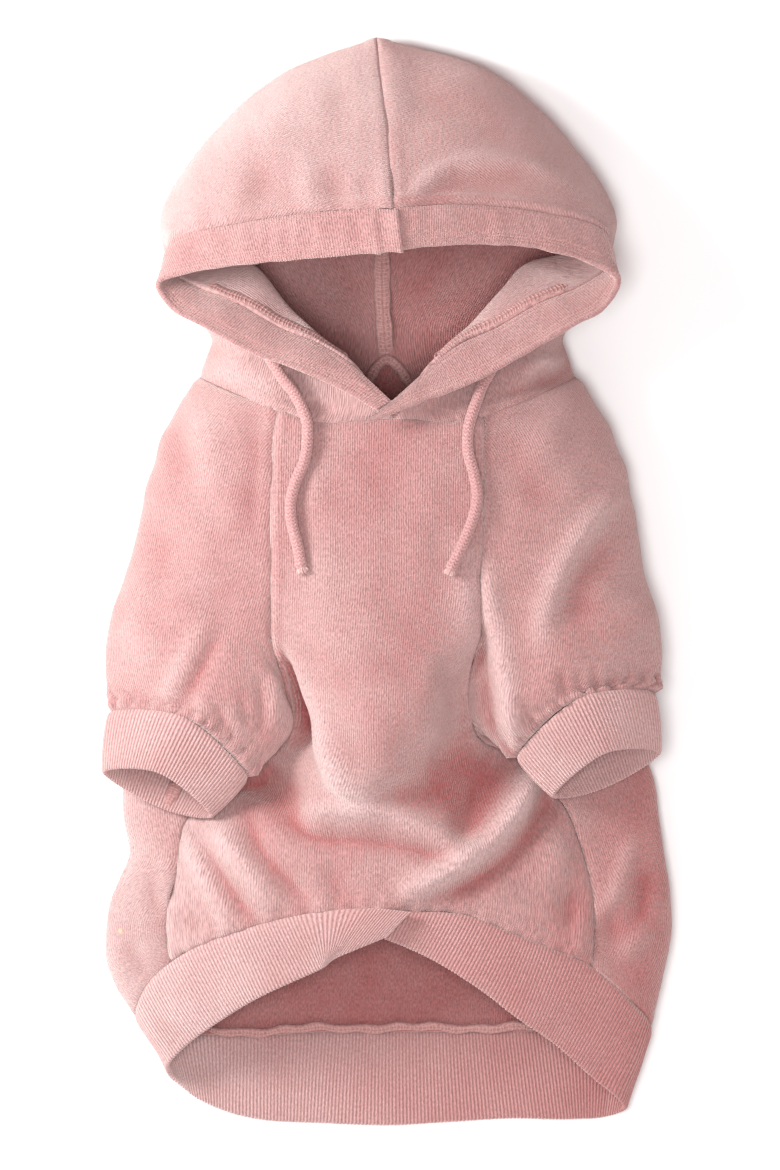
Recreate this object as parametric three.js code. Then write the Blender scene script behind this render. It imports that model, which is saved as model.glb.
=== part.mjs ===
// A velour dog hoodie lying on its back, belly side up, as it would be laid out on a table.
// Millimetres, +Z up, +Y towards the crown of the hood. The origin is on the table, under the
// middle of the garment. Every panel is one wall of cloth, lofted through the rows of a table.
import * as THREE from "three";

// Driving sizes of the garment as it lies
const HALF_WIDTH = 142;
const BODY_LENGTH = 354;
const LOFT = 60;
const HOOD_HALF_WIDTH = 116;
const HOOD_LENGTH = 193;
const HOOD_HEIGHT = 86;
const HEM_WIDTH = 20;
const BAND_WIDTH = 33;
const CUFF_LENGTH = 29;

// Walls, seams and cords
const VELOUR = 2.0;
const RIB = 2.4;
const HEM_TUNNEL = 3.0;
const SEAM_GAP = 0.8;
const FOLD_EASE = 1.8;
const PRESSED_SEAM = 0.5;
const CORD_DIAMETER = 5.6;

// The neck seam lies this far up from the middle of the garment
const NECK_Y = (BODY_LENGTH - HOOD_LENGTH) / 2;

// Each table row is a section of a panel. A point holds three shares: reach sideways from the
// middle, distance along the garment from the neck seam, and height above the table. Body
// tables count down to the waist, hood tables up to the crown.

// Neck seam, from the front overlap round the side to the nape
const NECK_ROW = [
  { line: [0.004, 0, 0.965], fold: [0.07, 0, 0.95], under: [0.24, 0.005, 0.925],
    brow: [0.445, -0.02, 0.835], side: [0.665, -0.06, 0.335], sole: [0.52, -0.05, 0.06],
    spine: [0.065, -0.05, 0.065] },
];

// Hood half, from the front overlap round the opening to the centre seam over the crown.
// Columns run from the hem line, over the inner fold, down to the table and to the centre
const HOOD_ROWS = [
  { line: [0.185, 0.145, 0.65], fold: [0.225, 0.175, 0.545], under: [0.3, 0.105, 0.535],
    brow: [0.545, 0.085, 0.535], side: [0.785, 0.165, 0.185], sole: [0.64, 0.14, 0.035],
    spine: [0.06, 0.12, 0.046] },
  { line: [0.31, 0.195, 0.63], fold: [0.31, 0.22, 0.525], under: [0.415, 0.16, 0.475],
    brow: [0.595, 0.135, 0.49], side: [0.765, 0.19, 0.165], sole: [0.64, 0.195, 0.025],
    spine: [0, 0.175, 0.046] },
  { line: [0.45, 0.23, 0.605], fold: [0.385, 0.265, 0.475], under: [0.51, 0.21, 0.405],
    brow: [0.645, 0.195, 0.385], side: [0.755, 0.21, 0.15], sole: [0.63, 0.245, 0.01],
    spine: [0, 0.245, 0.015] },
  { line: [0.67, 0.305, 0.58], fold: [0.49, 0.345, 0.43], under: [0.61, 0.29, 0.315],
    brow: [0.74, 0.27, 0.255], side: [0.83, 0.285, 0.14], sole: [0.7, 0.325, 0.01],
    spine: [0, 0.335, 0.01] },
  { line: [0.82, 0.34, 0.545], fold: [0.585, 0.41, 0.37], under: [0.715, 0.365, 0.245],
    brow: [0.83, 0.335, 0.2], side: [0.895, 0.34, 0.13], sole: [0.76, 0.39, 0.01],
    spine: [0, 0.455, 0.01] },
  { line: [0.955, 0.39, 0.5], fold: [0.83, 0.435, 0.37], under: [0.88, 0.42, 0.235],
    brow: [0.92, 0.415, 0.175], side: [0.955, 0.425, 0.12], sole: [0.81, 0.47, 0.01],
    spine: [0, 0.555, 0.01] },
  { line: [0.93, 0.46, 0.605], fold: [0.96, 0.48, 0.5], under: [0.98, 0.495, 0.37],
    brow: [0.985, 0.515, 0.255], side: [0.97, 0.53, 0.165], sole: [0.79, 0.57, 0.01],
    spine: [0, 0.66, 0.01] },
  { line: [0.665, 0.5, 0.755], fold: [0.74, 0.57, 0.675], under: [0.8, 0.62, 0.535],
    brow: [0.845, 0.655, 0.35], side: [0.845, 0.67, 0.175], sole: [0.67, 0.695, 0.01],
    spine: [0, 0.765, 0.01] },
  { line: [0.32, 0.53, 0.87], fold: [0.38, 0.63, 0.78], under: [0.425, 0.74, 0.63],
    brow: [0.46, 0.835, 0.42], side: [0.455, 0.9, 0.175], sole: [0.33, 0.86, 0.01],
    spine: [0, 0.86, 0.01] },
  { line: [0, 0.54, 0.955], fold: [0, 0.64, 0.825], under: [0, 0.75, 0.675], brow: [0, 0.885, 0.43],
    side: [0, 0.995, 0.165], sole: [0, 0.955, 0.01], spine: [0, 0.92, 0.01] },
];

// Folded hem of the hood. Its reach from the line is a share of HEM_WIDTH
const HEM_ROWS = [
  { line: [0.01, 0.04, 0.715], reach: [0.3, 0.15, 0.15] },
  { line: [0.185, 0.145, 0.65], reach: [0.38, 0.5, 0.3] },
  { line: [0.31, 0.195, 0.63], reach: [0.55, 0.57, 0.4] },
  { line: [0.45, 0.23, 0.605], reach: [0.6, 0.62, 0.45] },
  { line: [0.67, 0.305, 0.58], reach: [0.68, 0.62, 0.45] },
  { line: [0.82, 0.34, 0.545], reach: [0.62, 0.5, 0.5] },
  { line: [0.955, 0.39, 0.5], reach: [0.18, 0.38, 0.7] },
  { line: [0.93, 0.46, 0.605], reach: [-0.35, 0.78, 0.45] },
  { line: [0.665, 0.5, 0.755], reach: [-0.28, 0.95, 0.25] },
  { line: [0.32, 0.53, 0.87], reach: [-0.15, 1.08, 0.2] },
  { line: [0, 0.54, 0.955], reach: [0, 1, 0.15] },
];

// The right hem lies over the left one at the front and stands a little higher at the rim
const RIGHT_HEM_SHIFT = [
  { line: [0.01, 0.02, 0.06], reach: [-0.85, 0.35, 0.1] },
  { line: [0, 0, 0.02], reach: [0, 0.18, 0] },
  { line: [0, 0, 0], reach: [0, 0.25, 0] },
  { line: [0, 0, 0], reach: [0, 0.05, 0] },
  { line: [0, 0, 0], reach: [0, 0, 0] },
  { line: [0, 0, 0], reach: [0, 0, 0] },
  { line: [0, 0.01, 0], reach: [0, 0, 0] },
  { line: [0, 0.025, 0], reach: [0, 0, 0] },
  { line: [0, 0.03, 0], reach: [0, -0.13, 0] },
  { line: [0, 0.02, 0], reach: [0, -0.13, 0] },
  { line: [0, 0, 0], reach: [0, 0, 0] },
];

// Chest and belly panel, from the neck seam to the waistband, left edge to right edge
const CHEST_ROWS = [
  { left: [0.4, 0, 0.885], leftFold: [0.275, 0.005, 0.925], leftRise: [0.15, 0, 0.945],
    middle: [0.015, 0, 0.965], rightRise: [-0.13, 0, 0.95], rightFold: [-0.235, 0.005, 0.925],
    right: [-0.34, 0.01, 0.885] },
  { left: [0.41, 0.115, 0.9], leftFold: [0.31, 0.115, 0.95], leftRise: [0.17, 0.115, 1],
    middle: [0.02, 0.115, 1.015], rightRise: [-0.13, 0.115, 1], rightFold: [-0.235, 0.115, 0.95],
    right: [-0.34, 0.115, 0.9] },
  { left: [0.41, 0.225, 0.9], leftFold: [0.31, 0.23, 0.965], leftRise: [0.17, 0.235, 1.035],
    middle: [0.02, 0.235, 1.065], rightRise: [-0.13, 0.235, 1.035], rightFold: [-0.235, 0.23, 0.965],
    right: [-0.33, 0.225, 0.9] },
  { left: [0.41, 0.31, 0.85], leftFold: [0.33, 0.325, 0.915], leftRise: [0.205, 0.335, 1.085],
    middle: [0.045, 0.34, 1.15], rightRise: [-0.13, 0.33, 1.085], rightFold: [-0.235, 0.32, 0.95],
    right: [-0.325, 0.3, 0.85] },
  { left: [0.365, 0.385, 0.715], leftFold: [0.29, 0.395, 0.735], leftRise: [0.19, 0.41, 1.065],
    middle: [0.055, 0.425, 1.235], rightRise: [-0.13, 0.405, 1.135], rightFold: [-0.215, 0.39, 0.8],
    right: [-0.28, 0.365, 0.735] },
  { left: [0.35, 0.445, 0.55], leftFold: [0.285, 0.455, 0.6], leftRise: [0.205, 0.47, 0.9],
    middle: [0.055, 0.49, 1.065], rightRise: [-0.15, 0.47, 0.965], rightFold: [-0.245, 0.455, 0.635],
    right: [-0.305, 0.44, 0.565] },
  { left: [0.495, 0.495, 0.365], leftFold: [0.4, 0.505, 0.515], leftRise: [0.27, 0.525, 0.735],
    middle: [0.08, 0.535, 0.835], rightRise: [-0.15, 0.53, 0.765], rightFold: [-0.36, 0.51, 0.635],
    right: [-0.48, 0.485, 0.4] },
  { left: [0.71, 0.56, 0.35], leftFold: [0.54, 0.575, 0.6], leftRise: [0.31, 0.59, 0.765],
    middle: [0.065, 0.595, 0.835], rightRise: [-0.185, 0.59, 0.815], rightFold: [-0.43, 0.555, 0.615],
    right: [-0.615, 0.535, 0.365] },
  { left: [0.745, 0.635, 0.485], leftFold: [0.575, 0.65, 0.685], leftRise: [0.345, 0.65, 0.785],
    middle: [0.065, 0.645, 0.815], rightRise: [-0.185, 0.645, 0.835], rightFold: [-0.465, 0.625, 0.7],
    right: [-0.71, 0.635, 0.485] },
  { left: [0.77, 0.765, 0.465], leftFold: [0.565, 0.73, 0.665], leftRise: [0.31, 0.7, 0.765],
    middle: [0.065, 0.69, 0.815], rightRise: [-0.185, 0.695, 0.8], rightFold: [-0.445, 0.73, 0.7],
    right: [-0.72, 0.775, 0.465] },
];

// Sleeve, from the neck seam to the cuff. It is open along its under side as far as the armpit
const SLEEVE_ROWS = [
  { seam: [0.4, 0, 0.885], inner: [0.47, -0.025, 0.8], top: [0.565, -0.045, 0.665],
    outer: [0.665, -0.06, 0.335], under: [0.52, -0.045, 0.05], back: [0.31, -0.04, 0.035] },
  { seam: [0.405, 0.05, 0.9], inner: [0.485, 0.04, 0.885], top: [0.645, 0.02, 0.715],
    outer: [0.79, 0.02, 0.35], under: [0.645, 0.03, 0.035], back: [0.345, 0.035, 0.02] },
  { seam: [0.41, 0.115, 0.9], inner: [0.52, 0.115, 0.885], top: [0.715, 0.115, 0.715],
    outer: [0.86, 0.115, 0.385], under: [0.715, 0.125, 0.015], back: [0.375, 0.125, 0.015] },
  { seam: [0.41, 0.22, 0.9], inner: [0.54, 0.22, 0.9], top: [0.76, 0.215, 0.765],
    outer: [0.915, 0.215, 0.415], under: [0.74, 0.235, 0.035], back: [0.41, 0.24, 0.015] },
  { seam: [0.41, 0.31, 0.85], inner: [0.53, 0.295, 0.915], top: [0.795, 0.285, 0.815],
    outer: [0.98, 0.29, 0.465], under: [0.785, 0.325, 0.135], back: [0.425, 0.325, 0.015] },
  { seam: [0.365, 0.385, 0.715], inner: [0.43, 0.355, 0.915], top: [0.715, 0.34, 0.95],
    outer: [0.995, 0.34, 0.5], under: [0.805, 0.395, 0.335], back: [0.385, 0.39, 0.2] },
  { seam: [0.35, 0.445, 0.565], inner: [0.34, 0.425, 0.765], top: [0.61, 0.395, 1],
    outer: [0.99, 0.38, 0.535], under: [0.805, 0.43, 0.415], back: [0.36, 0.45, 0.515] },
  { seam: [0.52, 0.48, 0.49], inner: [0.4, 0.475, 0.685], top: [0.62, 0.41, 0.985],
    outer: [0.985, 0.4, 0.565], under: [0.81, 0.44, 0.435], back: [0.535, 0.475, 0.485] },
  { seam: [0.655, 0.485, 0.475], inner: [0.495, 0.505, 0.685], top: [0.715, 0.42, 0.95],
    outer: [0.98, 0.415, 0.585], under: [0.84, 0.45, 0.45], back: [0.67, 0.485, 0.465] },
];

// How far the right sleeve's columns lie further in, and its rows further up, than the left's
const RIGHT_SLEEVE_SHIFT = [
  { seam: -0.055, inner: -0.03, top: 0, outer: 0, under: 0, back: 0, lift: 0 },
  { seam: -0.065, inner: -0.05, top: -0.02, outer: 0, under: 0, back: 0, lift: 0 },
  { seam: -0.07, inner: -0.055, top: -0.02, outer: 0, under: 0, back: 0, lift: 0 },
  { seam: -0.08, inner: -0.06, top: -0.03, outer: -0.015, under: 0, back: 0, lift: 0 },
  { seam: -0.085, inner: -0.07, top: -0.03, outer: -0.03, under: -0.02, back: 0, lift: 0.01 },
  { seam: -0.08, inner: -0.055, top: -0.04, outer: -0.03, under: -0.03, back: -0.08, lift: 0.02 },
  { seam: -0.045, inner: -0.02, top: -0.045, outer: -0.03, under: -0.035, back: -0.045, lift: 0.01 },
  { seam: -0.04, inner: -0.045, top: -0.045, outer: -0.035, under: -0.04, back: -0.04, lift: 0.018 },
  { seam: -0.04, inner: -0.04, top: -0.04, outer: -0.045, under: -0.04, back: -0.04, lift: 0.028 },
];

// Reach of the cuff's mouth from its seam, as shares of CUFF_LENGTH
const CUFF_REACH = {
  seam: [0.41, 0.86, -0.09], inner: [0.62, 0.66, -0.17], top: [0.43, 0.93, -0.14],
  outer: [0.1, 1, -0.03], under: [0.28, 0.95, -0.07],
};

// Back panel, left half. It wraps round the side of the body to the side seam
const BACK_ROWS = [
  { edge: [0.31, -0.04, 0.035], flank: [0.27, -0.04, 0.02], side: [0.22, -0.045, 0.015],
    sole: [0.125, -0.08, 0.015], spine: [0, -0.1, 0.015] },
  { edge: [0.375, 0.125, 0.015], flank: [0.33, 0.125, 0.015], side: [0.28, 0.12, 0.015],
    sole: [0.205, 0.115, 0.015], spine: [0, 0.115, 0.015] },
  { edge: [0.415, 0.31, 0.015], flank: [0.38, 0.31, 0.015], side: [0.34, 0.31, 0.015],
    sole: [0.24, 0.295, 0.015], spine: [0, 0.28, 0.015] },
  { edge: [0.375, 0.395, 0.15], flank: [0.445, 0.405, 0.1], side: [0.54, 0.41, 0.05],
    sole: [0.445, 0.405, 0.015], spine: [0, 0.38, 0.015] },
  { edge: [0.365, 0.46, 0.45], flank: [0.61, 0.46, 0.335], side: [0.875, 0.455, 0.185],
    sole: [0.76, 0.45, 0.015], spine: [0, 0.46, 0.015] },
  { edge: [0.5, 0.495, 0.315], flank: [0.805, 0.51, 0.285], side: [0.94, 0.51, 0.185],
    sole: [0.83, 0.515, 0.015], spine: [0, 0.525, 0.015] },
  { edge: [0.71, 0.565, 0.35], flank: [0.84, 0.575, 0.335], side: [0.935, 0.57, 0.2],
    sole: [0.83, 0.575, 0.015], spine: [0, 0.58, 0.015] },
  { edge: [0.745, 0.635, 0.465], flank: [0.83, 0.625, 0.415], side: [0.91, 0.62, 0.25],
    sole: [0.815, 0.62, 0.015], spine: [0, 0.635, 0.015] },
  { edge: [0.78, 0.7, 0.5], flank: [0.895, 0.695, 0.435], side: [0.995, 0.7, 0.25],
    sole: [0.89, 0.7, 0.015], spine: [0, 0.705, 0.015] },
  { edge: [0.78, 0.735, 0.485], flank: [0.88, 0.76, 0.415], side: [0.99, 0.78, 0.25],
    sole: [0.88, 0.79, 0.015], spine: [0, 0.8, 0.015] },
  { edge: [0.77, 0.765, 0.465], flank: [0.845, 0.8, 0.385], side: [0.895, 0.845, 0.215],
    sole: [0.775, 0.865, 0.02], spine: [0, 0.865, 0.02] },
];

const RIGHT_BACK_SHIFT = [
  { edge: [0, 0], flank: [0, 0], side: [0, 0] },
  { edge: [0, 0], flank: [0, 0], side: [0, 0] },
  { edge: [0, 0], flank: [0, 0], side: [0, 0] },
  { edge: [-0.08, 0.02], flank: [-0.04, 0.01], side: [0, 0] },
  { edge: [-0.045, 0.01], flank: [-0.02, 0], side: [0, 0] },
  { edge: [-0.04, 0.015], flank: [0, 0], side: [0, 0] },
  { edge: [-0.1, 0.025], flank: [-0.05, 0], side: [0.03, 0] },
  { edge: [-0.04, 0], flank: [0, 0], side: [0.075, 0] },
  { edge: [-0.05, 0], flank: [0, 0], side: [0.008, 0] },
  { edge: [-0.055, 0], flank: [0, 0], side: [-0.01, 0] },
  { edge: [-0.055, -0.01], flank: [0.01, 0], side: [0.04, 0] },
];

// Folds of the chest and belly. A path is in the shares of a body point, reach and distance
// only; the half width is a share of HALF_WIDTH and the rise a share of LOFT
const CHEST_FOLDS = [
  // Tuck by the left armpit
  { path: [[0.38, 0.335], [0.29, 0.44]], width: 0.042, rise: -0.13 },
  // Roll of the chest
  { path: [[0.3, 0.355], [0.22, 0.44], [0.155, 0.51], [0.05, 0.54]], width: 0.045, rise: 0.09 },
  // Hollow left of the bulge
  { path: [[0.48, 0.5], [0.35, 0.56], [0.3, 0.585]], width: 0.075, rise: -0.15 },
  // Crease under the bulge
  { path: [[0.3, 0.59], [0.06, 0.605], [-0.22, 0.625]], width: 0.05, rise: -0.08 },
  // Rim of the bulge
  { path: [[0.3, 0.545], [0.08, 0.555], [-0.15, 0.59], [-0.25, 0.61]], width: 0.045, rise: 0.07 },
  // Hollow under the right sleeve
  { path: [[-0.4, 0.49], [-0.29, 0.535], [-0.24, 0.59]], width: 0.09, rise: -0.17 },
  // Ridge from the right armpit
  { path: [[-0.53, 0.5], [-0.46, 0.54], [-0.32, 0.605], [-0.15, 0.65]], width: 0.056, rise: 0.12 },
  // Valley beside that ridge
  { path: [[-0.6, 0.52], [-0.5, 0.585], [-0.38, 0.63], [-0.22, 0.66]], width: 0.056, rise: -0.08 },
  // Left belly ridge
  { path: [[0.6, 0.585], [0.5, 0.635], [0.42, 0.68]], width: 0.055, rise: 0.08 },
  // Left belly valley
  { path: [[0.49, 0.575], [0.42, 0.625], [0.31, 0.67]], width: 0.055, rise: -0.07 },
  // Outer belly ridge
  { path: [[0.72, 0.6], [0.6, 0.68], [0.55, 0.715]], width: 0.045, rise: 0.05 },
];

// Folds of the left sleeve, mirrored for the right one
const SLEEVE_FOLDS = [
  // Shoulder roll
  { path: [[0.68, -0.01], [0.62, 0.06]], width: 0.07, rise: 0.05 },
  // Hollow along the raglan seam
  { path: [[0.49, 0.02], [0.46, 0.12]], width: 0.05, rise: -0.05 },
  // Crease to the cuff
  { path: [[0.6, 0.32], [0.74, 0.4]], width: 0.04, rise: -0.07 },
  // Ridge by the armpit
  { path: [[0.4, 0.25], [0.42, 0.35], [0.45, 0.42]], width: 0.05, rise: 0.06 },
];

// Centre seam of the hood: how far it lies from the middle, from its hem to the crown
const CENTRE_SEAM = [
  { along: 0.43, lean: 0.045 }, { along: 0.54, lean: 0.024 }, { along: 0.62, lean: 0.017 },
  { along: 0.75, lean: 0 }, { along: 0.91, lean: -0.034 }, { along: 1, lean: -0.049 },
];
const LEAN_REACH = 0.4;

// Waistband, from its left end over the right end, round the back and up again.
// The reach from the seam to the free edge is in shares of BAND_WIDTH
const BAND_ROWS = [
  { seam: [-0.085, 0.695, 0.885], reach: [0.36, 0.35, 0] },
  { seam: [0.065, 0.69, 0.85], reach: [0.48, 0.73, -0.03] },
  { seam: [0.31, 0.7, 0.8], reach: [-0.33, 0.77, -0.03] },
  { seam: [0.54, 0.725, 0.7], reach: [-0.42, 0.92, -0.03] },
  { seam: [0.715, 0.755, 0.55], reach: [-0.56, 0.97, -0.03] },
  { seam: [0.84, 0.795, 0.4], reach: [-0.55, 0.94, -0.03] },
  { seam: [0.89, 0.835, 0.285], reach: [-0.5, 0.79, -0.03] },
  { seam: [0.88, 0.855, 0.115], reach: [-0.45, 0.73, -0.03] },
  { seam: [0.775, 0.87, 0.02], reach: [-0.27, 0.89, 0] },
  { seam: [0.575, 0.875, 0.02], reach: [0, 1.12, 0] },
  { seam: [0.435, 0.875, 0.02], reach: [0, 1.26, 0] },
  { seam: [0.205, 0.87, 0.02], reach: [0.08, 1.36, 0] },
  { seam: [0, 0.87, 0.02], reach: [0, 1.39, 0] },
  { seam: [-0.17, 0.87, 0.02], reach: [-0.06, 1.35, 0] },
  { seam: [-0.395, 0.87, 0.02], reach: [-0.15, 1.29, 0] },
  { seam: [-0.605, 0.87, 0.02], reach: [-0.15, 1.3, 0] },
  { seam: [-0.805, 0.875, 0.02], reach: [0.15, 1.21, 0] },
  { seam: [-0.915, 0.875, 0.115], reach: [0.35, 1.09, 0] },
  { seam: [-0.925, 0.855, 0.285], reach: [0.45, 1.15, 0] },
  { seam: [-0.86, 0.825, 0.4], reach: [0.61, 1.09, 0] },
  { seam: [-0.72, 0.775, 0.515], reach: [0.55, 1.14, 0] },
  { seam: [-0.555, 0.745, 0.635], reach: [0.41, 1.06, 0] },
  { seam: [-0.43, 0.725, 0.7], reach: [0.42, 0.85, 0] },
  { seam: [-0.27, 0.7, 0.75], reach: [0.38, 0.7, 0] },
  { seam: [-0.115, 0.695, 0.775], reach: [0.24, 0.5, 0] },
  { seam: [-0.03, 0.695, 0.775], reach: [0.18, 0.38, 0] },
];

// Routes of the two drawcords over the chest, points chosen by hand, in millimetres
const LEFT_CORD = [
  [-62.5, 116, 47], [-59.5, 111.5, 49.5], [-56, 106, 52], [-52.5, 100.5, 54], [-47, 93.5, 56.2],
  [-43, 86, 58.2], [-40.5, 79, 59.8], [-40, 72, 60.6], [-41.5, 60, 60.9], [-46, 49, 60.6],
  [-48.5, 39, 60.5], [-48, 29, 60.9], [-45, 17, 61.9], [-43, 6, 62.6],
];
const RIGHT_CORD = [
  [53.5, 108.5, 50], [50.5, 103, 52.5], [47, 97, 55], [44.5, 90, 57], [42, 83, 58.8],
  [40, 75, 59.6], [40, 64, 59.5], [43, 52, 59.1], [44.5, 42, 59], [43, 33, 59.5],
  [39.5, 23, 60.5], [35.5, 14, 61.6], [31, 5, 63],
];

// How finely the rows and columns of each panel are divided
const HOOD_STEPS = 2;
const CHEST_STEPS = 3;
const CHEST_SIDES = 4;
const FOLD_SAMPLES = 12;
const SLEEVE_STEPS = 2;
const SLEEVE_SIDES = 4;
const BACK_STEPS = 2;
const BAND_STEPS = 2;
const CUFF_SECTIONS = 3;
const CORD_SIDES = 8;
const CORD_STEPS = 12;
const SEAM_SAMPLES = 200;
const SNAP_REACH = 5;
const BAND_SNAP_REACH = 15;

const bodyPoint = ([across, down, up], side) =>
  new THREE.Vector3(side * across * HALF_WIDTH, NECK_Y - down * BODY_LENGTH, up * LOFT);

const hoodPoint = ([across, along, up], side) =>
  new THREE.Vector3(side * across * HOOD_HALF_WIDTH, NECK_Y + along * HOOD_LENGTH, up * HOOD_HEIGHT);

const offset = (point, [across, down, up], side, size) =>
  point.clone().add(new THREE.Vector3(side * across * size, -down * size, up * size));

const plus = (share, shift) => share.map((value, i) => value + shift[i]);

const spline = (points, closed = false) => new THREE.CatmullRomCurve3(points, closed, "centripetal");

// A grid of points through rows of points: each interval is cut into as many steps
function loft(rows, rowSteps, columnSteps) {
  const columns = (rows[0].length - 1) * columnSteps;
  const sections = rows.map((row) => spline(row).getPoints(columns));
  const count = (rows.length - 1) * rowSteps;
  const lines = sections[0].map((_, j) => spline(sections.map((section) => section[j])));
  return Array.from({ length: count + 1 }, (_, i) => lines.map((line) => line.getPoint(i / count)));
}

// Lift a grid so that a wall of this thickness rests on the table
const rest = (grid, thickness) =>
  grid.map((row) => row.map((p) => new THREE.Vector3(p.x, p.y, Math.max(p.z, thickness / 2))));

// Lift or press the upper side of a panel along its folds
function fold(grid, folds, side) {
  const underside = LOFT / 3;
  const foldPaths = folds.map(({ path }) =>
    spline(path.map((share) => bodyPoint([...share, 0], side))).getPoints(FOLD_SAMPLES));
  for (const p of grid.flat()) {
    if (p.z < underside) continue;
    const flat = new THREE.Vector3(p.x, p.y, 0);
    folds.forEach(({ width, rise }, k) => {
      const away = Math.min(...foldPaths[k].map((sample) => sample.distanceTo(flat)));
      p.z += rise * LOFT * Math.exp(-((away / (width * HALF_WIDTH)) ** 2));
    });
  }
}

// Lean a piece of the hood with its centre seam. The layer on the table keeps to the middle
function lean(geometry) {
  const position = geometry.getAttribute("position");
  for (let k = 0; k < position.count; k += 1) {
    const along = (position.getY(k) - NECK_Y) / HOOD_LENGTH;
    const next = CENTRE_SEAM.slice(1, -1).filter((row) => row.along < along).length + 1;
    const [a, b] = [CENTRE_SEAM[next - 1], CENTRE_SEAM[next]];
    const share = Math.min(Math.max((along - a.along) / (b.along - a.along), 0), 1);
    const full = (a.lean + (b.lean - a.lean) * share) * HOOD_HALF_WIDTH;
    const near = Math.max(0, 1 - Math.abs(position.getX(k)) / (LEAN_REACH * HOOD_HALF_WIDTH));
    const upper = full > 0 ? Math.min(1, position.getZ(k) / HOOD_HEIGHT) : 1;
    position.setX(k, position.getX(k) + full * near * upper);
  }
  geometry.computeVertexNormals();
  return geometry;
}

const firstColumn = (grid) => grid.map((row) => [row[0], row[1]]);
const lastColumn = (grid) => grid.map((row) => [row[row.length - 1], row[row.length - 2]]);
const firstRow = (grid) => grid[0].map((p, j) => [p, grid[1][j]]);
const lastRow = (grid) => grid[grid.length - 1].map((p, j) => [p, grid[grid.length - 2][j]]);

// Bring the edge of a grid onto a seam curve that it shares with its neighbour
function snap(edge, seam, reach = SNAP_REACH) {
  const samples = seam.getPoints(SEAM_SAMPLES);
  for (const [point] of edge) {
    const nearest = samples.reduce((a, b) => (b.distanceTo(point) < a.distanceTo(point) ? b : a));
    const atEnd = nearest === samples[0] || nearest === samples[SEAM_SAMPLES];
    if (nearest.distanceTo(point) < (atEnd ? SEAM_GAP : reach)) point.copy(nearest);
  }
}

// Draw an edge back from its seam by half of the seam's gap
function trim(edge, gap = SEAM_GAP) {
  const seam = edge.map(([point]) => point.clone());
  edge.forEach(([point, next], i) => {
    const along = seam[Math.min(i + 1, seam.length - 1)].clone().sub(seam[Math.max(i - 1, 0)]).normalize();
    const inward = next.clone().sub(point);
    inward.addScaledVector(along, -inward.dot(along));
    point.add(inward.setLength(gap / 2));
  });
}

const ALL_SEAMS = { firstRow: true, lastRow: true, firstColumn: true, lastColumn: true };

// A closed wall of cloth on both sides of a grid of points, pressed thinner along its seams
function wall(grid, thickness, seams, { closed = false, centred = false } = {}) {
  const rows = grid.length;
  const columns = grid[0].length;
  const at = (i, j) => grid[i][closed ? (j + columns) % columns : Math.min(Math.max(j, 0), columns - 1)];
  const pressed = (i, j) =>
    (seams.firstRow && i === 0) || (seams.lastRow && i === rows - 1) ||
    (seams.firstColumn && j === 0) || (seams.lastColumn && j === columns - 1);
  const positions = [];
  for (const side of [1, -1]) {
    for (let i = 0; i < rows; i += 1) {
      for (let j = 0; j < columns; j += 1) {
        const along = at(Math.min(i + 1, rows - 1), j).clone().sub(at(Math.max(i - 1, 0), j));
        const across = at(i, j + 1).clone().sub(at(i, j - 1));
        const normal = along.cross(across);
        if (centred && Math.abs(at(i, j).x) < SEAM_GAP) normal.x = 0;
        normal.setLength((side * thickness * (pressed(i, j) ? PRESSED_SEAM : 1)) / 2);
        const p = at(i, j).clone().add(normal);
        positions.push(p.x, p.y, Math.max(p.z, 0));
      }
    }
  }
  const node = (side, i, j) => side * rows * columns + i * columns + (j % columns);
  const faces = [];
  const quad = (a, b, c, d) => faces.push(a, b, c, a, c, d);
  const spans = closed ? columns : columns - 1;
  for (let i = 0; i < rows - 1; i += 1) {
    for (let j = 0; j < spans; j += 1) {
      quad(node(0, i, j), node(0, i + 1, j), node(0, i + 1, j + 1), node(0, i, j + 1));
      quad(node(1, i, j), node(1, i, j + 1), node(1, i + 1, j + 1), node(1, i + 1, j));
    }
  }
  for (let j = 0; j < spans; j += 1) {
    quad(node(0, 0, j), node(0, 0, j + 1), node(1, 0, j + 1), node(1, 0, j));
    quad(node(0, rows - 1, j), node(1, rows - 1, j), node(1, rows - 1, j + 1), node(0, rows - 1, j + 1));
  }
  if (!closed) {
    for (let i = 0; i < rows - 1; i += 1) {
      quad(node(0, i, 0), node(1, i, 0), node(1, i + 1, 0), node(0, i + 1, 0));
      quad(node(0, i, columns - 1), node(0, i + 1, columns - 1), node(1, i + 1, columns - 1),
        node(1, i, columns - 1));
    }
  }
  return solid(positions, faces);
}

// A geometry whose faces point outwards
function solid(positions, faces) {
  const corner = (k) => new THREE.Vector3().fromArray(positions, 3 * k);
  let volume = 0;
  for (let k = 0; k < faces.length; k += 3) {
    volume += corner(faces[k]).dot(corner(faces[k + 1]).cross(corner(faces[k + 2])));
  }
  const outward = volume > 0 ? faces : faces.slice().reverse();
  const geometry = new THREE.BufferGeometry();
  geometry.setAttribute("position", new THREE.Float32BufferAttribute(positions, 3));
  geometry.setIndex(outward);
  geometry.computeVertexNormals();
  return geometry;
}

// Seam curves that neighbouring panels share
const shift = (row, name, moves) => {
  const [across, down, up] = row[name];
  return moves ? [across + moves[name], down - moves.lift, up] : [across, down, up];
};

const sleeveRows = (side) =>
  SLEEVE_ROWS.map((row, i) =>
    Object.keys(row).map((name) =>
      bodyPoint(shift(row, name, side > 0 ? RIGHT_SLEEVE_SHIFT[i] : null), side)));

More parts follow.
